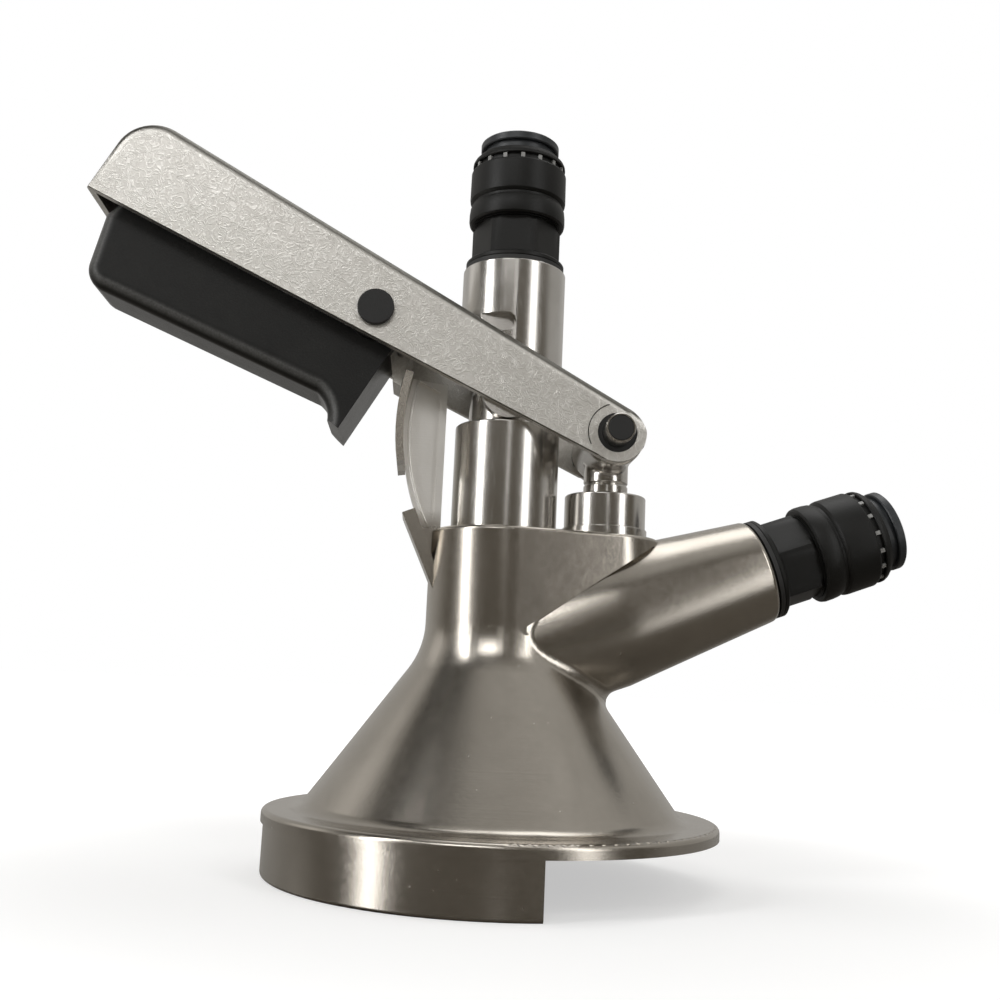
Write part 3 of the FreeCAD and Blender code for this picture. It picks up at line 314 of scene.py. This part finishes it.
def softbox(name, place, aim, width, height, watts):
    """A rectangular diffused lamp that faces a point at height aim on the object's axis."""
    lamp = bpy.data.lights.new(name, "AREA")
    lamp.shape = "RECTANGLE"
    lamp.size = width
    lamp.size_y = height
    lamp.energy = watts
    stand = link(bpy.data.objects.new(name, lamp))
    stand.location = place
    stand.rotation_mode = "QUATERNION"
    stand.rotation_quaternion = (aim * UP - Vector(place)).to_track_quat("-Z", "Y")


def light_room():
    """A pale room behind the object, a dim warm one round the camera, and five softboxes."""
    world = bpy.data.worlds.new("studio")
    bpy.context.scene.world = world
    world.use_nodes = True
    tree = world.node_tree
    tree.nodes.clear()
    where = add(tree, "ShaderNodeTexCoord").outputs["Generated"]
    room = ROOM_DIM
    for colour, line, low, high in ROOM_PATCHES:
        patch = step(tree, along(tree, where, Vector(line).normalized()), low, high)
        room = blend_colours(tree, patch, room, colour)
    ambient = add(tree, "ShaderNodeBackground")
    feed(tree, room, ambient.inputs["Color"])
    paper = add(tree, "ShaderNodeBackground")
    paper.inputs["Color"].default_value = PAPER_WHITE
    path = add(tree, "ShaderNodeLightPath")
    pick = add(tree, "ShaderNodeMixShader")
    feed(tree, path.outputs["Is Camera Ray"], pick.inputs[0])
    feed(tree, ambient.outputs[0], pick.inputs[1])
    feed(tree, paper.outputs[0], pick.inputs[2])
    out = add(tree, "ShaderNodeOutputWorld")
    feed(tree, pick.outputs[0], out.inputs["Surface"])
    for name, values in SOFTBOXES.items():
        softbox(name, *values)


def new_material(name):
    """A material with an empty tree."""
    stuff = bpy.data.materials.new(name)
    stuff.use_nodes = True
    stuff.node_tree.nodes.clear()
    return stuff, stuff.node_tree


def make_floor():
    """A pale floor that keeps the object's soft shadow and runs into the pale background."""
    mesh = bpy.data.meshes.new("floor")
    half = FLOOR_HALF
    corners = [(-half, -half, 0), (half, -half, 0), (half, half, 0), (-half, half, 0)]
    mesh.from_pydata(corners, [], [(0, 1, 2, 3)])
    floor = link(bpy.data.objects.new("floor", mesh))
    stuff, tree = new_material("floor_paper")
    seen = add(tree, "ShaderNodeLightPath").outputs["Is Camera Ray"]
    paper = add(tree, "ShaderNodeBsdfDiffuse")
    tone = blend_colours(tree, seen, FLOOR_MIRRORED, FLOOR_PALE)
    feed(tree, tone, paper.inputs["Color"])
    sheen = add(tree, "ShaderNodeBsdfGlossy")
    sheen.inputs["Roughness"].default_value = FLOOR_SHEEN_ROUGHNESS
    facing = add(tree, "ShaderNodeLayerWeight").outputs["Facing"]
    grazing = step(tree, facing, *FLOOR_SHEEN_EDGE, above=FLOOR_SHEEN)
    share = maths(tree, "MULTIPLY", grazing, maths(tree, "SUBTRACT", 1.0, seen))
    lit = add(tree, "ShaderNodeMixShader")
    feed(tree, share, lit.inputs[0])
    feed(tree, paper.outputs[0], lit.inputs[1])
    feed(tree, sheen.outputs[0], lit.inputs[2])
    away = add(tree, "ShaderNodeVectorMath", operation="LENGTH")
    feed(tree, add(tree, "ShaderNodeTexCoord").outputs["Object"], away.inputs[0])
    fade = step(tree, away.outputs["Value"], *FLOOR_GLOW_EDGE, below=FLOOR_GLOW)
    glow = add(tree, "ShaderNodeEmission")
    feed(tree, maths(tree, "MULTIPLY", seen, fade), glow.inputs["Strength"])
    both = add(tree, "ShaderNodeAddShader")
    feed(tree, lit.outputs[0], both.inputs[0])
    feed(tree, glow.outputs[0], both.inputs[1])
    out = add(tree, "ShaderNodeOutputMaterial")
    feed(tree, both.outputs[0], out.inputs["Surface"])
    mesh.materials.append(stuff)


# Shader groups that several finishes share
def group_of(name, inputs, output):
    """An empty shader group with named inputs and one number put out."""
    tree = bpy.data.node_groups.new(name, "ShaderNodeTree")
    for label, kind, value in inputs:
        socket = tree.interface.new_socket(label, in_out="INPUT", socket_type=kind)
        if value is not None:
            socket.default_value = value
    tree.interface.new_socket(output, in_out="OUTPUT", socket_type=NUMBER)
    start = add(tree, "NodeGroupInput").outputs
    end = add(tree, "NodeGroupOutput").inputs[output]
    return tree, start, end


def make_clouding():
    """Soft cloudy variation, 0 to 1, about patches of the given size."""
    inputs = [("Vector", VECTOR, None), ("Patch", NUMBER, 0.01), ("Contrast", NUMBER, 1.0)]
    tree, start, end = group_of("clouding", inputs, "Mask")
    scale = maths(tree, "DIVIDE", 1.0, start["Patch"])
    cloud = noise(tree, start["Vector"], scale, Detail=5.0, Roughness=0.55, Distortion=0.6)
    centred = maths(tree, "SUBTRACT", cloud, 0.5)
    mask = maths(tree, "MULTIPLY_ADD", centred, start["Contrast"], 0.5, clamped=True)
    feed(tree, mask, end)
    return tree


def make_scratching():
    """Fine broken lines that run one way, as handling leaves them on steel."""
    inputs = [
        ("Vector", VECTOR, None), ("Turn", VECTOR, None),
        ("Fineness", NUMBER, 900.0), ("Amount", NUMBER, 0.4),
    ]
    tree, start, end = group_of("scratching", inputs, "Mask")
    turned = add(tree, "ShaderNodeVectorRotate", rotation_type="EULER_XYZ")
    feed(tree, start["Vector"], turned.inputs["Vector"])
    feed(tree, start["Turn"], turned.inputs["Rotation"])
    stretch = add(tree, "ShaderNodeVectorMath", operation="MULTIPLY")
    stretch.inputs[1].default_value = (0.02, 1.0, 1.0)
    feed(tree, turned.outputs[0], stretch.inputs[0])
    streaks = noise(tree, stretch.outputs[0], start["Fineness"], Detail=2.0)
    peak = step(tree, streaks, 0.58, 0.74)
    feed(tree, maths(tree, "MULTIPLY", peak, start["Amount"]), end)
    return tree


def make_tool_rings():
    """Rings that a turning tool leaves, as a height that changes along one line only."""
    inputs = [("Along", NUMBER, 0.0), ("Pitch", NUMBER, 0.00012)]
    tree, start, end = group_of("tool_rings", inputs, "Height")
    rings = add(tree, "ShaderNodeTexNoise", noise_dimensions="1D")
    rings.inputs["Scale"].default_value = 1.0
    rings.inputs["Detail"].default_value = 3.0
    feed(tree, maths(tree, "DIVIDE", start["Along"], start["Pitch"]), rings.inputs["W"])
    feed(tree, rings.outputs["Fac"], end)
    return tree


def make_grain():
    """Fine pebbled grain of a blasted or spark-eroded surface."""
    inputs = [("Vector", VECTOR, None), ("Pebble", NUMBER, 0.0004)]
    tree, start, end = group_of("grain", inputs, "Height")
    scale = maths(tree, "DIVIDE", 1.0, start["Pebble"])
    feed(tree, noise(tree, start["Vector"], scale, Detail=3.0, Roughness=0.6), end)
    return tree


def make_worms():
    """Thin winding lines, as the contours of a noise, about a given distance apart."""
    inputs = [("Vector", VECTOR, None), ("Apart", NUMBER, 0.001), ("Width", NUMBER, 0.06)]
    tree, start, end = group_of("worms", inputs, "Mask")
    scale = maths(tree, "DIVIDE", 1.0, start["Apart"])
    hills = noise(tree, start["Vector"], scale, Detail=1.0, Distortion=1.2)
    waves = maths(tree, "PINGPONG", hills, 0.09)
    feed(tree, step(tree, waves, 0.0, start["Width"], below=1.0, above=0.0), end)
    return tree


CLOUDING = make_clouding()
SCRATCHING = make_scratching()
TOOL_RINGS = make_tool_rings()
GRAIN = make_grain()
WORMS = make_worms()


def use(tree, group, **values):
    """What a placed group puts out, with its sockets fed."""
    made = add(tree, "ShaderNodeGroup", node_tree=group)
    for name, value in values.items():
        feed(tree, value, made.inputs[name])
    return made.outputs[0]


def blank(name):
    """A material with its shader, its output and the object's own coordinates."""
    stuff, tree = new_material(name)
    shader = add(tree, "ShaderNodeBsdfPrincipled")
    out = add(tree, "ShaderNodeOutputMaterial")
    feed(tree, shader.outputs[0], out.inputs["Surface"])
    where = add(tree, "ShaderNodeTexCoord").outputs["Object"]
    return stuff, tree, shader, where


def relief(tree, shader, height, depth):
    """Bumps of the given depth in metres feed the shader's normal."""
    bump = add(tree, "ShaderNodeBump")
    bump.inputs["Strength"].default_value = 1.0
    bump.inputs["Distance"].default_value = depth
    feed(tree, height, bump.inputs["Height"])
    feed(tree, bump.outputs[0], shader.inputs["Normal"])


def across_share(tree):
    """How far the surface faces along Y: 1 on a flank, 0 on an edge face."""
    normal = add(tree, "ShaderNodeTexCoord").outputs["Normal"]
    return maths(tree, "ABSOLUTE", along(tree, normal, ACROSS))


def arc_mark(tree, where, radius, half, towards, reach):
    """A thin arc about the fulcrum: 1 on it, 0 off it and past a share of the turn from towards."""
    away = add(tree, "ShaderNodeVectorMath", operation="SUBTRACT")
    away.inputs[1].default_value = FULCRUM * MM
    feed(tree, where, away.inputs[0])
    level = add(tree, "ShaderNodeVectorMath", operation="MULTIPLY")
    level.inputs[1].default_value = (1, 0, 1)
    feed(tree, away.outputs[0], level.inputs[0])
    length = add(tree, "ShaderNodeVectorMath", operation="LENGTH")
    feed(tree, level.outputs[0], length.inputs[0])
    gap = maths(tree, "ABSOLUTE", maths(tree, "SUBTRACT", length.outputs["Value"], radius))
    ring = step(tree, gap, half * 0.4, half, below=1.0, above=0.0)
    heading = add(tree, "ShaderNodeVectorMath", operation="NORMALIZE")
    feed(tree, level.outputs[0], heading.inputs[0])
    side = along(tree, heading.outputs[0], towards)
    part = step(tree, side, reach - ARC_FADE, reach + ARC_FADE, way="LINEAR")
    return maths(tree, "MULTIPLY", ring, part)


def panel_mask(tree, where):
    """1 on the panel of the guide plate and 0 elsewhere."""
    beside = step(tree, along(tree, where, LEFT), *PANEL_LEFT)
    over = step(tree, along(tree, where, UP), *PANEL_UP)
    within = step(tree, maths(tree, "ABSOLUTE", along(tree, where, ACROSS)), *PANEL_ACROSS)
    return maths(tree, "MULTIPLY", maths(tree, "MULTIPLY", beside, over), within)


def cast_finish():
    """Tumbled cast stainless steel: satin, brown-grey, with fine marks brushed round the bell."""
    stuff, tree, shader, where = blank("tumbled_casting")
    cloud = use(tree, CLOUDING, Vector=where, Patch=0.016, Contrast=1.4)
    fine = use(tree, CLOUDING, Vector=where, Patch=0.0012, Contrast=1.0)
    brushed = use(tree, TOOL_RINGS, Along=along(tree, where, UP), Pitch=0.00035)
    crossed = use(
        tree, SCRATCHING, Vector=where, Turn=(0.9, -0.4, 1.3), Fineness=1400.0, Amount=0.3
    )
    pebbles = use(tree, GRAIN, Vector=where, Pebble=0.0006)
    panel = panel_mask(tree, where)
    tone = plus(tree, between(tree, cloud, 0.0, 0.7), fine, 0.3)
    colour = blend_colours(tree, tone, CAST_DARK, CAST_LIGHT)
    feed(tree, blend_colours(tree, panel, colour, PANEL_PALE), shader.inputs["Base Color"])
    shader.inputs["Metallic"].default_value = 1.0
    rough = plus(tree, between(tree, fine, 0.20, 0.30), panel, 0.16)
    feed(tree, plus(tree, rough, crossed, -0.06), shader.inputs["Roughness"])
    height = plus(tree, plus(tree, pebbles, crossed, -0.08), brushed, 0.5)
    ridge = maths(tree, "MULTIPLY", arc_mark(tree, where, *PLATE_RIM), panel)
    relief(tree, shader, plus(tree, height, ridge, 8.0), 0.000014)
    return stuff


def turned_finish(name, line, colour=TURNED, rough=(0.17, 0.25)):
    """Turned and polished stainless steel, with faint rings across the line it was turned on."""
    stuff, tree, shader, where = blank(name)
    rings = use(tree, TOOL_RINGS, Along=along(tree, where, line), Pitch=0.00014)
    cloud = use(tree, CLOUDING, Vector=where, Patch=0.008, Contrast=1.5)
    lines = use(
        tree, SCRATCHING, Vector=where, Turn=(0.0, 1.57, 0.2), Fineness=1300.0, Amount=0.4
    )
    feed(tree, blend_colours(tree, cloud, TURNED_DULL, colour), shader.inputs["Base Color"])
    shader.inputs["Metallic"].default_value = 1.0
    dull = between(tree, cloud, rough[1], rough[0])
    feed(tree, plus(tree, dull, lines, 0.12), shader.inputs["Roughness"])
    relief(tree, shader, plus(tree, rings, lines, -0.6), 0.0000016)
    return stuff


def blasted_finish():
    """Bead-blasted stainless sheet: pale satin with a fine winding mottle, and painted shade on the
    bends.
    """
    stuff, tree, shader, where = blank("blasted_sheet")
    worms = use(tree, WORMS, Vector=where, Apart=0.0022, Width=0.05)
    broad = use(tree, CLOUDING, Vector=where, Patch=0.012, Contrast=2.0)
    fine = use(tree, CLOUDING, Vector=where, Patch=0.0012, Contrast=2.0)
    pebbles = use(tree, GRAIN, Vector=where, Pebble=0.0003)
    lines = use(
        tree, SCRATCHING, Vector=where, Turn=(0.0, 0.47, 0.0), Fineness=1200.0, Amount=0.4
    )
    mottle = plus(tree, between(tree, fine, 0.0, 0.45), broad, 0.35)
    mottle = plus(tree, mottle, worms, 0.35)
    seam = arc_mark(tree, where, *HUB_SEAM)
    plain = blend_colours(tree, mottle, BLASTED_DARK, BLASTED_LIGHT)
    # Painted shade: the colour darkens where the sheet turns through its bends
    bend = band(tree, across_share(tree), (0.05, 0.25), (0.86, 0.98))
    plain = blend_colours(tree, bend, plain, BEND_PAINTED_SHADE)
    feed(tree, blend_colours(tree, seam, plain, SEAM_DARK), shader.inputs["Base Color"])
    shader.inputs["Metallic"].default_value = 1.0
    dull = between(tree, worms, 0.46, 0.38)
    feed(tree, plus(tree, dull, lines, -0.06), shader.inputs["Roughness"])
    height = plus(tree, plus(tree, plus(tree, pebbles, worms, 0.8), lines, -0.3), seam, -4.0)
    relief(tree, shader, height, 0.000022)
    return stuff


def moulded_finish(name, dark, light, rough, pebble, depth, shine=0.5, polish_and_painted_highlight=0.0):
    """Moulded plastic or rubber: a fine grain, a little bloom, and if asked, duller flanks with a
    painted highlight along the rounded edges.
    """
    stuff, tree, shader, where = blank(name)
    cloud = use(tree, CLOUDING, Vector=where, Patch=0.006, Contrast=1.4)
    pebbles = use(tree, GRAIN, Vector=where, Pebble=pebble)
    colour = blend_colours(tree, maths(tree, "MULTIPLY", cloud, pebbles), dark, light)
    dull = between(tree, cloud, *rough)
    if polish_and_painted_highlight:
        flank = across_share(tree)
        # Painted highlight: a paler grey band on the upper part of each rounded edge, where a
        # lamp's glint falls; the flanks are also made duller
        highlight_band = band(tree, flank, (0.50, 0.85), (0.90, 0.998))
        painted_highlight = maths(tree, "MULTIPLY", highlight_band, between(tree, pebbles, 0.2, 0.8))
        colour = blend_colours(tree, painted_highlight, colour, PAINTED_HIGHLIGHT_GREY)
        dull = plus(tree, dull, step(tree, flank, 0.75, 0.99), polish_and_painted_highlight)
    feed(tree, colour, shader.inputs["Base Color"])
    feed(tree, dull, shader.inputs["Roughness"])
    shader.inputs["Specular IOR Level"].default_value = shine
    relief(tree, shader, pebbles, depth)
    return stuff


FINISH = {
    "cast_steel": cast_finish(),
    "turned_steel": turned_finish("turned_upright", UP),
    "lever_steel": blasted_finish(),
    "spring_steel": turned_finish("spring_wire", ACROSS, SPRING, (0.22, 0.3)),
    "black_plug": moulded_finish(
        "plug_moulding", PLUG_BLACK, GRIP_GREY, (0.48, 0.6), 0.0003, 0.000012
    ),
    "grip_moulding": moulded_finish(
        "grip_moulding", GRIP_BLACK, GRIP_GREY, (0.26, 0.34), 0.0005, 0.00004,
        shine=0.33, polish_and_painted_highlight=0.24,
    ),
    "connector_plastic": moulded_finish(
        "connector_moulding", CONNECTOR_BLACK, CONNECTOR_GREY, (0.42, 0.52), 0.0004, 0.000012,
        shine=0.3,
    ),
    "collet_plastic": moulded_finish(
        "collet_moulding", COLLET_BLUE, COLLET_LIGHT, (0.36, 0.46), 0.0003, 0.000008
    ),
    "white_plastic": moulded_finish(
        "white_moulding", FOOD_WHITE, FOOD_WHITE, (0.35, 0.5), 0.0004, 0.00001
    ),
    "seal_rubber": moulded_finish(
        "seal_rubber", RUBBER_BLACK, GRIP_GREY, (0.5, 0.65), 0.0004, 0.00001
    ),
}
PIN_STEEL = turned_finish("turned_across", ACROSS)
LUG_FINISH = moulded_finish("lug_moulding", LUG_GREY, LUG_GREY, (0.35, 0.45), 0.0003, 0.000006)

SLOT_OF = {
    "coupler_body": "cast_steel",
    "keg_face_seal": "seal_rubber",
    "lower_spindle_seal": "seal_rubber",
    "upper_spindle_seal": "seal_rubber",
    "fulcrum_post": "turned_steel",
    "post_base_ring": "turned_steel",
    "fulcrum_pin": "turned_steel",
    "fulcrum_pin_caps": "black_plug",
    "lever_channel": "lever_steel",
    "lever_bushes": "black_plug",
    "cam_discs": "turned_steel",
    "grip_pin": "turned_steel",
    "grip_pin_buttons": "black_plug",
    "lever_grip": "grip_moulding",
    "latch_hook": "lever_steel",
    "latch_spring": "spring_steel",
    "spindle": "turned_steel",
    "probe_seal": "seal_rubber",
    "check_ball": "turned_steel",
    "ball_cage": "white_plastic",
    "gas_duckbill_valve": "seal_rubber",
    "gas_valve_ring": "white_plastic",
}
for port in PORTS:
    SLOT_OF[port + "_connector_body"] = "connector_plastic"
    SLOT_OF[port + "_connector_cap"] = "connector_plastic"
    SLOT_OF[port + "_collet"] = "collet_plastic"
    SLOT_OF[port + "_port_gasket"] = "seal_rubber"
    SLOT_OF[port + "_tube_seal"] = "seal_rubber"
    SLOT_OF[port + "_tube_seal_spacer"] = "connector_plastic"

BODIES = frame["record"]["behaviour"]["bodies"]
BODY_OF = {node: body for body, members in BODIES.items() for node in members}


def bake(piece):
    """The piece's modifiers become part of its mesh."""
    graph = bpy.context.evaluated_depsgraph_get()
    graph.update()
    mesh = bpy.data.meshes.new_from_object(piece.evaluated_get(graph))
    piece.modifiers.clear()
    piece.data = mesh


def squared(spot):
    """The lever's lower edge and the edge round its hub, squared as a cut sheet's edge is."""
    inward = LEVER_HALF - abs(spot.y) / MM
    arm = (spot / MM - FULCRUM).xz
    if arm.dot(LEVER_RUN) < 0:
        down, share = LEVER_DOWN, 1.0
    else:
        down = arm.normalized()
        share = min(1.0, max(0.0, (arm.dot(LEVER_DOWN) - SQUARE_FROM) / SQUARE_OVER))
    above = HUB_RADIUS - arm.dot(down)
    off = math.hypot(BEND - inward, BEND - above) - BEND
    if abs(off) > ON_BEND or not -ON_FLANK < above < BEND - ON_FACE or inward > BEND:
        return spot
    turn = math.degrees(math.atan2(BEND - above, BEND - inward))
    new_inward = max(0.0, min(SHEET, SHEET * (turn - BEND_MIDDLE) / SHEET_TURN))
    new_above = max(0.0, BEND * (1 - turn / BEND_MIDDLE))
    slide = down * (above - new_above) * share * MM
    side = math.copysign((inward - new_inward) * share * MM, spot.y)
    return spot + Vector((slide.x, side, slide.y))


def finished(node, rounding, stuff, reshape=None):
    """A welded copy of a node's mesh with its edges broken and its curves shaded smooth."""
    build = bmesh.new()
    build.from_mesh(frame["nodes"][node].data)
    bmesh.ops.remove_doubles(build, verts=build.verts, dist=WELD)
    bmesh.ops.dissolve_limit(build, angle_limit=FLAT, verts=build.verts, edges=build.edges)
    if reshape:
        for vert in build.verts:
            vert.co = reshape(vert.co)
        build.normal_update()
    for face in build.faces:
        face.smooth = True
    weight = build.edges.layers.float.new("bevel_weight_edge")
    for edge in build.edges:
        edge.smooth = len(edge.link_faces) != 2 or edge.calc_face_angle() < CREASE
        edge[weight] = float(not edge.smooth)
    mesh = bpy.data.meshes.new("finished_" + node)
    build.to_mesh(mesh)
    build.free()
    own_normals = mesh.attributes.get("custom_normal")
    if own_normals:
        mesh.attributes.remove(own_normals)
    piece = link(bpy.data.objects.new("finished_" + node, mesh))
    mesh.materials.clear()
    mesh.materials.append(stuff)
    if rounding:
        broken = piece.modifiers.new("broken edges", "BEVEL")
        broken.limit_method = "WEIGHT"
        broken.width = rounding * MM
        broken.segments = EDGE_STEPS
        broken.use_clamp_overlap = False
    even = piece.modifiers.new("even shading", "WEIGHTED_NORMAL")
    even.keep_sharp = not rounding
    even.weight = SHADING_WEIGHT
    bake(piece)
    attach(piece, BODY_OF[node])
    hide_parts(node)


def shown_piece(name, mesh, node, body, stuff, crease=CREASE):
    """A finished mesh becomes a piece on its body, in place of its node if it has one."""
    for face in mesh.polygons:
        face.use_smooth = True
    mesh.set_sharp_from_angle(angle=crease)
    mesh.materials.clear()
    mesh.materials.append(stuff)
    piece = link(bpy.data.objects.new(name, mesh))
    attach(piece, body)
    if node:
        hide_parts(node)


def spun(name, section, seat, line, facing, turn=0.0):
    """A closed form spun from a section about a line, cut to a hexagon where it says so."""
    side = line.cross(facing)
    build = bmesh.new()
    rings = []
    for radius, height, *limit in section:
        middle = seat + height * line
        if not radius:
            rings.append([build.verts.new(middle * MM)])
            continue
        ring = []
        for index in range(SEGMENTS):
            angle = 360 * index / SEGMENTS + turn
            reach = radius
            if limit:
                off = math.radians((angle - turn + 30) % 60 - 30)
                reach = min(limit[0], HEX_FLAT / math.cos(off))
            around = math.cos(math.radians(angle)) * facing + math.sin(math.radians(angle)) * side
            ring.append(build.verts.new((middle + reach * around) * MM))
        rings.append(ring)
    for first, second in zip(rings, rings[1:] + rings[:1]):
        if len(first) == len(second) == 1:
            continue
        for index in range(SEGMENTS):
            after = (index + 1) % SEGMENTS
            corners = [ring[spot % len(ring)] for ring, spot in
                       ((first, index), (first, after), (second, after), (second, index))]
            build.faces.new(list(dict.fromkeys(corners)))
    bmesh.ops.recalc_face_normals(build, faces=build.faces)
    mesh = bpy.data.meshes.new(name)
    build.to_mesh(mesh)
    build.free()
    return mesh


def make_connector(port):
    """The shell with its hexagon, the cap with its groove and slot, and the collet of one port."""
    seat, line, turn = PORTS[port]
    parts = (
        ("connector_body", SHELL_SECTION, "connector_plastic"),
        ("connector_cap", CAP_SECTION, "connector_plastic"),
        ("collet", COLLET_SECTION, "collet_plastic"),
    )
    for part, section, slot_name in parts:
        node = port + "_" + part
        mesh = spun("turned_" + node, section, seat, line, FRONT, turn)
        shown_piece("turned_" + node, mesh, node, BODY_OF[node], FINISH[slot_name])


def make_fulcrum_pin():
    """The drilled pin with its bright broken rims, and the two black plugs in its ends."""
    near = [(radius, PIN_END + height) for radius, height in PIN_END_SECTION]
    far = [(radius, -height) for radius, height in near]
    steel = spun("pin_bar", far + near[::-1], FULCRUM, FRONT, UP)
    body = BODY_OF["fulcrum_pin"]
    shown_piece("pin_bar", steel, "fulcrum_pin", body, PIN_STEEL, PIN_CREASE)
    plug = [(radius, PIN_END + height) for radius, height in PLUG_SECTION]
    body = BODY_OF["fulcrum_pin_caps"]
    for end, line, node in (("near", FRONT, "fulcrum_pin_caps"), ("far", -FRONT, None)):
        name = "pin_plug_" + end
        mesh = spun(name, plug, FULCRUM, line, UP)
        shown_piece(name, mesh, node, body, FINISH["black_plug"])


def make_lug_ring():
    """Geometry nodes that set a number of lugs in a ring and place the ring on a port."""
    tree = bpy.data.node_groups.new("lug_ring", "GeometryNodeTree")
    sockets = (
        ("Count", "NodeSocketInt", 16),
        ("Radius", NUMBER, 0.0108),
        ("Lug", VECTOR, (0.0006, 0.0009, 0.0011)),
        ("Place", VECTOR, (0, 0, 0)),
        ("Turn", VECTOR, (0, 0, 0)),
        ("Material", "NodeSocketMaterial", None),
    )
    for label, kind, value in sockets:
        socket = tree.interface.new_socket(label, in_out="INPUT", socket_type=kind)
        if value is not None:
            socket.default_value = value
    tree.interface.new_socket("Geometry", in_out="OUTPUT", socket_type="NodeSocketGeometry")
    start = add(tree, "NodeGroupInput").outputs
    end = add(tree, "NodeGroupOutput")
    circle = add(tree, "GeometryNodeMeshCircle")
    feed(tree, start["Count"], circle.inputs["Vertices"])
    feed(tree, start["Radius"], circle.inputs["Radius"])
    lug = add(tree, "GeometryNodeMeshCube")
    feed(tree, start["Lug"], lug.inputs["Size"])
    index = add(tree, "GeometryNodeInputIndex").outputs[0]
    part = maths(tree, "DIVIDE", index, start["Count"])
    about = add(tree, "ShaderNodeCombineXYZ")
    feed(tree, maths(tree, "MULTIPLY", part, 2 * math.pi), about.inputs["Z"])
    facing = add(tree, "FunctionNodeEulerToRotation")
    feed(tree, about.outputs[0], facing.inputs[0])
    spread = add(tree, "GeometryNodeInstanceOnPoints")
    feed(tree, circle.outputs["Mesh"], spread.inputs["Points"])
    feed(tree, lug.outputs["Mesh"], spread.inputs["Instance"])
    feed(tree, facing.outputs[0], spread.inputs["Rotation"])
    tip = add(tree, "FunctionNodeEulerToRotation")
    feed(tree, start["Turn"], tip.inputs[0])
    set_down = add(tree, "GeometryNodeTransform")
    feed(tree, spread.outputs[0], set_down.inputs["Geometry"])
    feed(tree, start["Place"], set_down.inputs["Translation"])
    feed(tree, tip.outputs[0], set_down.inputs["Rotation"])
    whole = add(tree, "GeometryNodeRealizeInstances")
    feed(tree, set_down.outputs[0], whole.inputs[0])
    coat = add(tree, "GeometryNodeSetMaterial")
    feed(tree, whole.outputs[0], coat.inputs["Geometry"])
    feed(tree, start["Material"], coat.inputs["Material"])
    feed(tree, coat.outputs[0], end.inputs[0])
    return tree


def make_lugs(port, tree):
    """The pale lugs that show in the slot under a cap's rim."""
    seat, line, _ = PORTS[port]
    name = port + "_cap_lugs"
    piece = link(bpy.data.objects.new(name, bpy.data.meshes.new(name)))
    ring = piece.modifiers.new("lug ring", "NODES")
    ring.node_group = tree
    values = {
        "Count": LUGS,
        "Radius": LUG_REACH * MM,
        "Place": (seat + LUG_HEIGHT * line) * MM,
        "Turn": UP.rotation_difference(line).to_euler(),
        "Material": LUG_FINISH,
    }
    for socket in tree.interface.items_tree:
        if socket.name in values:
            ring[socket.identifier] = values[socket.name]
    bake(piece)
    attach(piece, BODY_OF[port + "_connector_cap"])


def dress_nodes():
    """Every node keeps its own finish, also where it is hidden or stands in."""
    for node, thing in frame["nodes"].items():
        thing.data.materials.clear()
        thing.data.materials.append(FINISH[SLOT_OF[node]])


set_camera()
light_room()
make_floor()
dress_nodes()

# Nodes shown as welded copies, and how far their edges are broken in millimetres
SHOWN = {
    "coupler_body": 0.0,
    "fulcrum_post": 0.15,
    "post_base_ring": 0.15,
    "lever_channel": 0.0,
    "cam_discs": 0.0,
    "grip_pin_buttons": 0.25,
    "lever_grip": 0.0,
    "latch_hook": 0.0,
    "spindle": 0.12,
}
for port in PORTS:
    SHOWN[port + "_port_gasket"] = 0.0

for node, rounding in SHOWN.items():
    stuff = PIN_STEEL if node == "cam_discs" else FINISH[SLOT_OF[node]]
    finished(node, rounding, stuff, reshape=squared if node == "lever_channel" else None)

make_fulcrum_pin()
lug_ring = make_lug_ring()
for port in PORTS:
    make_connector(port)
    make_lugs(port, lug_ring)
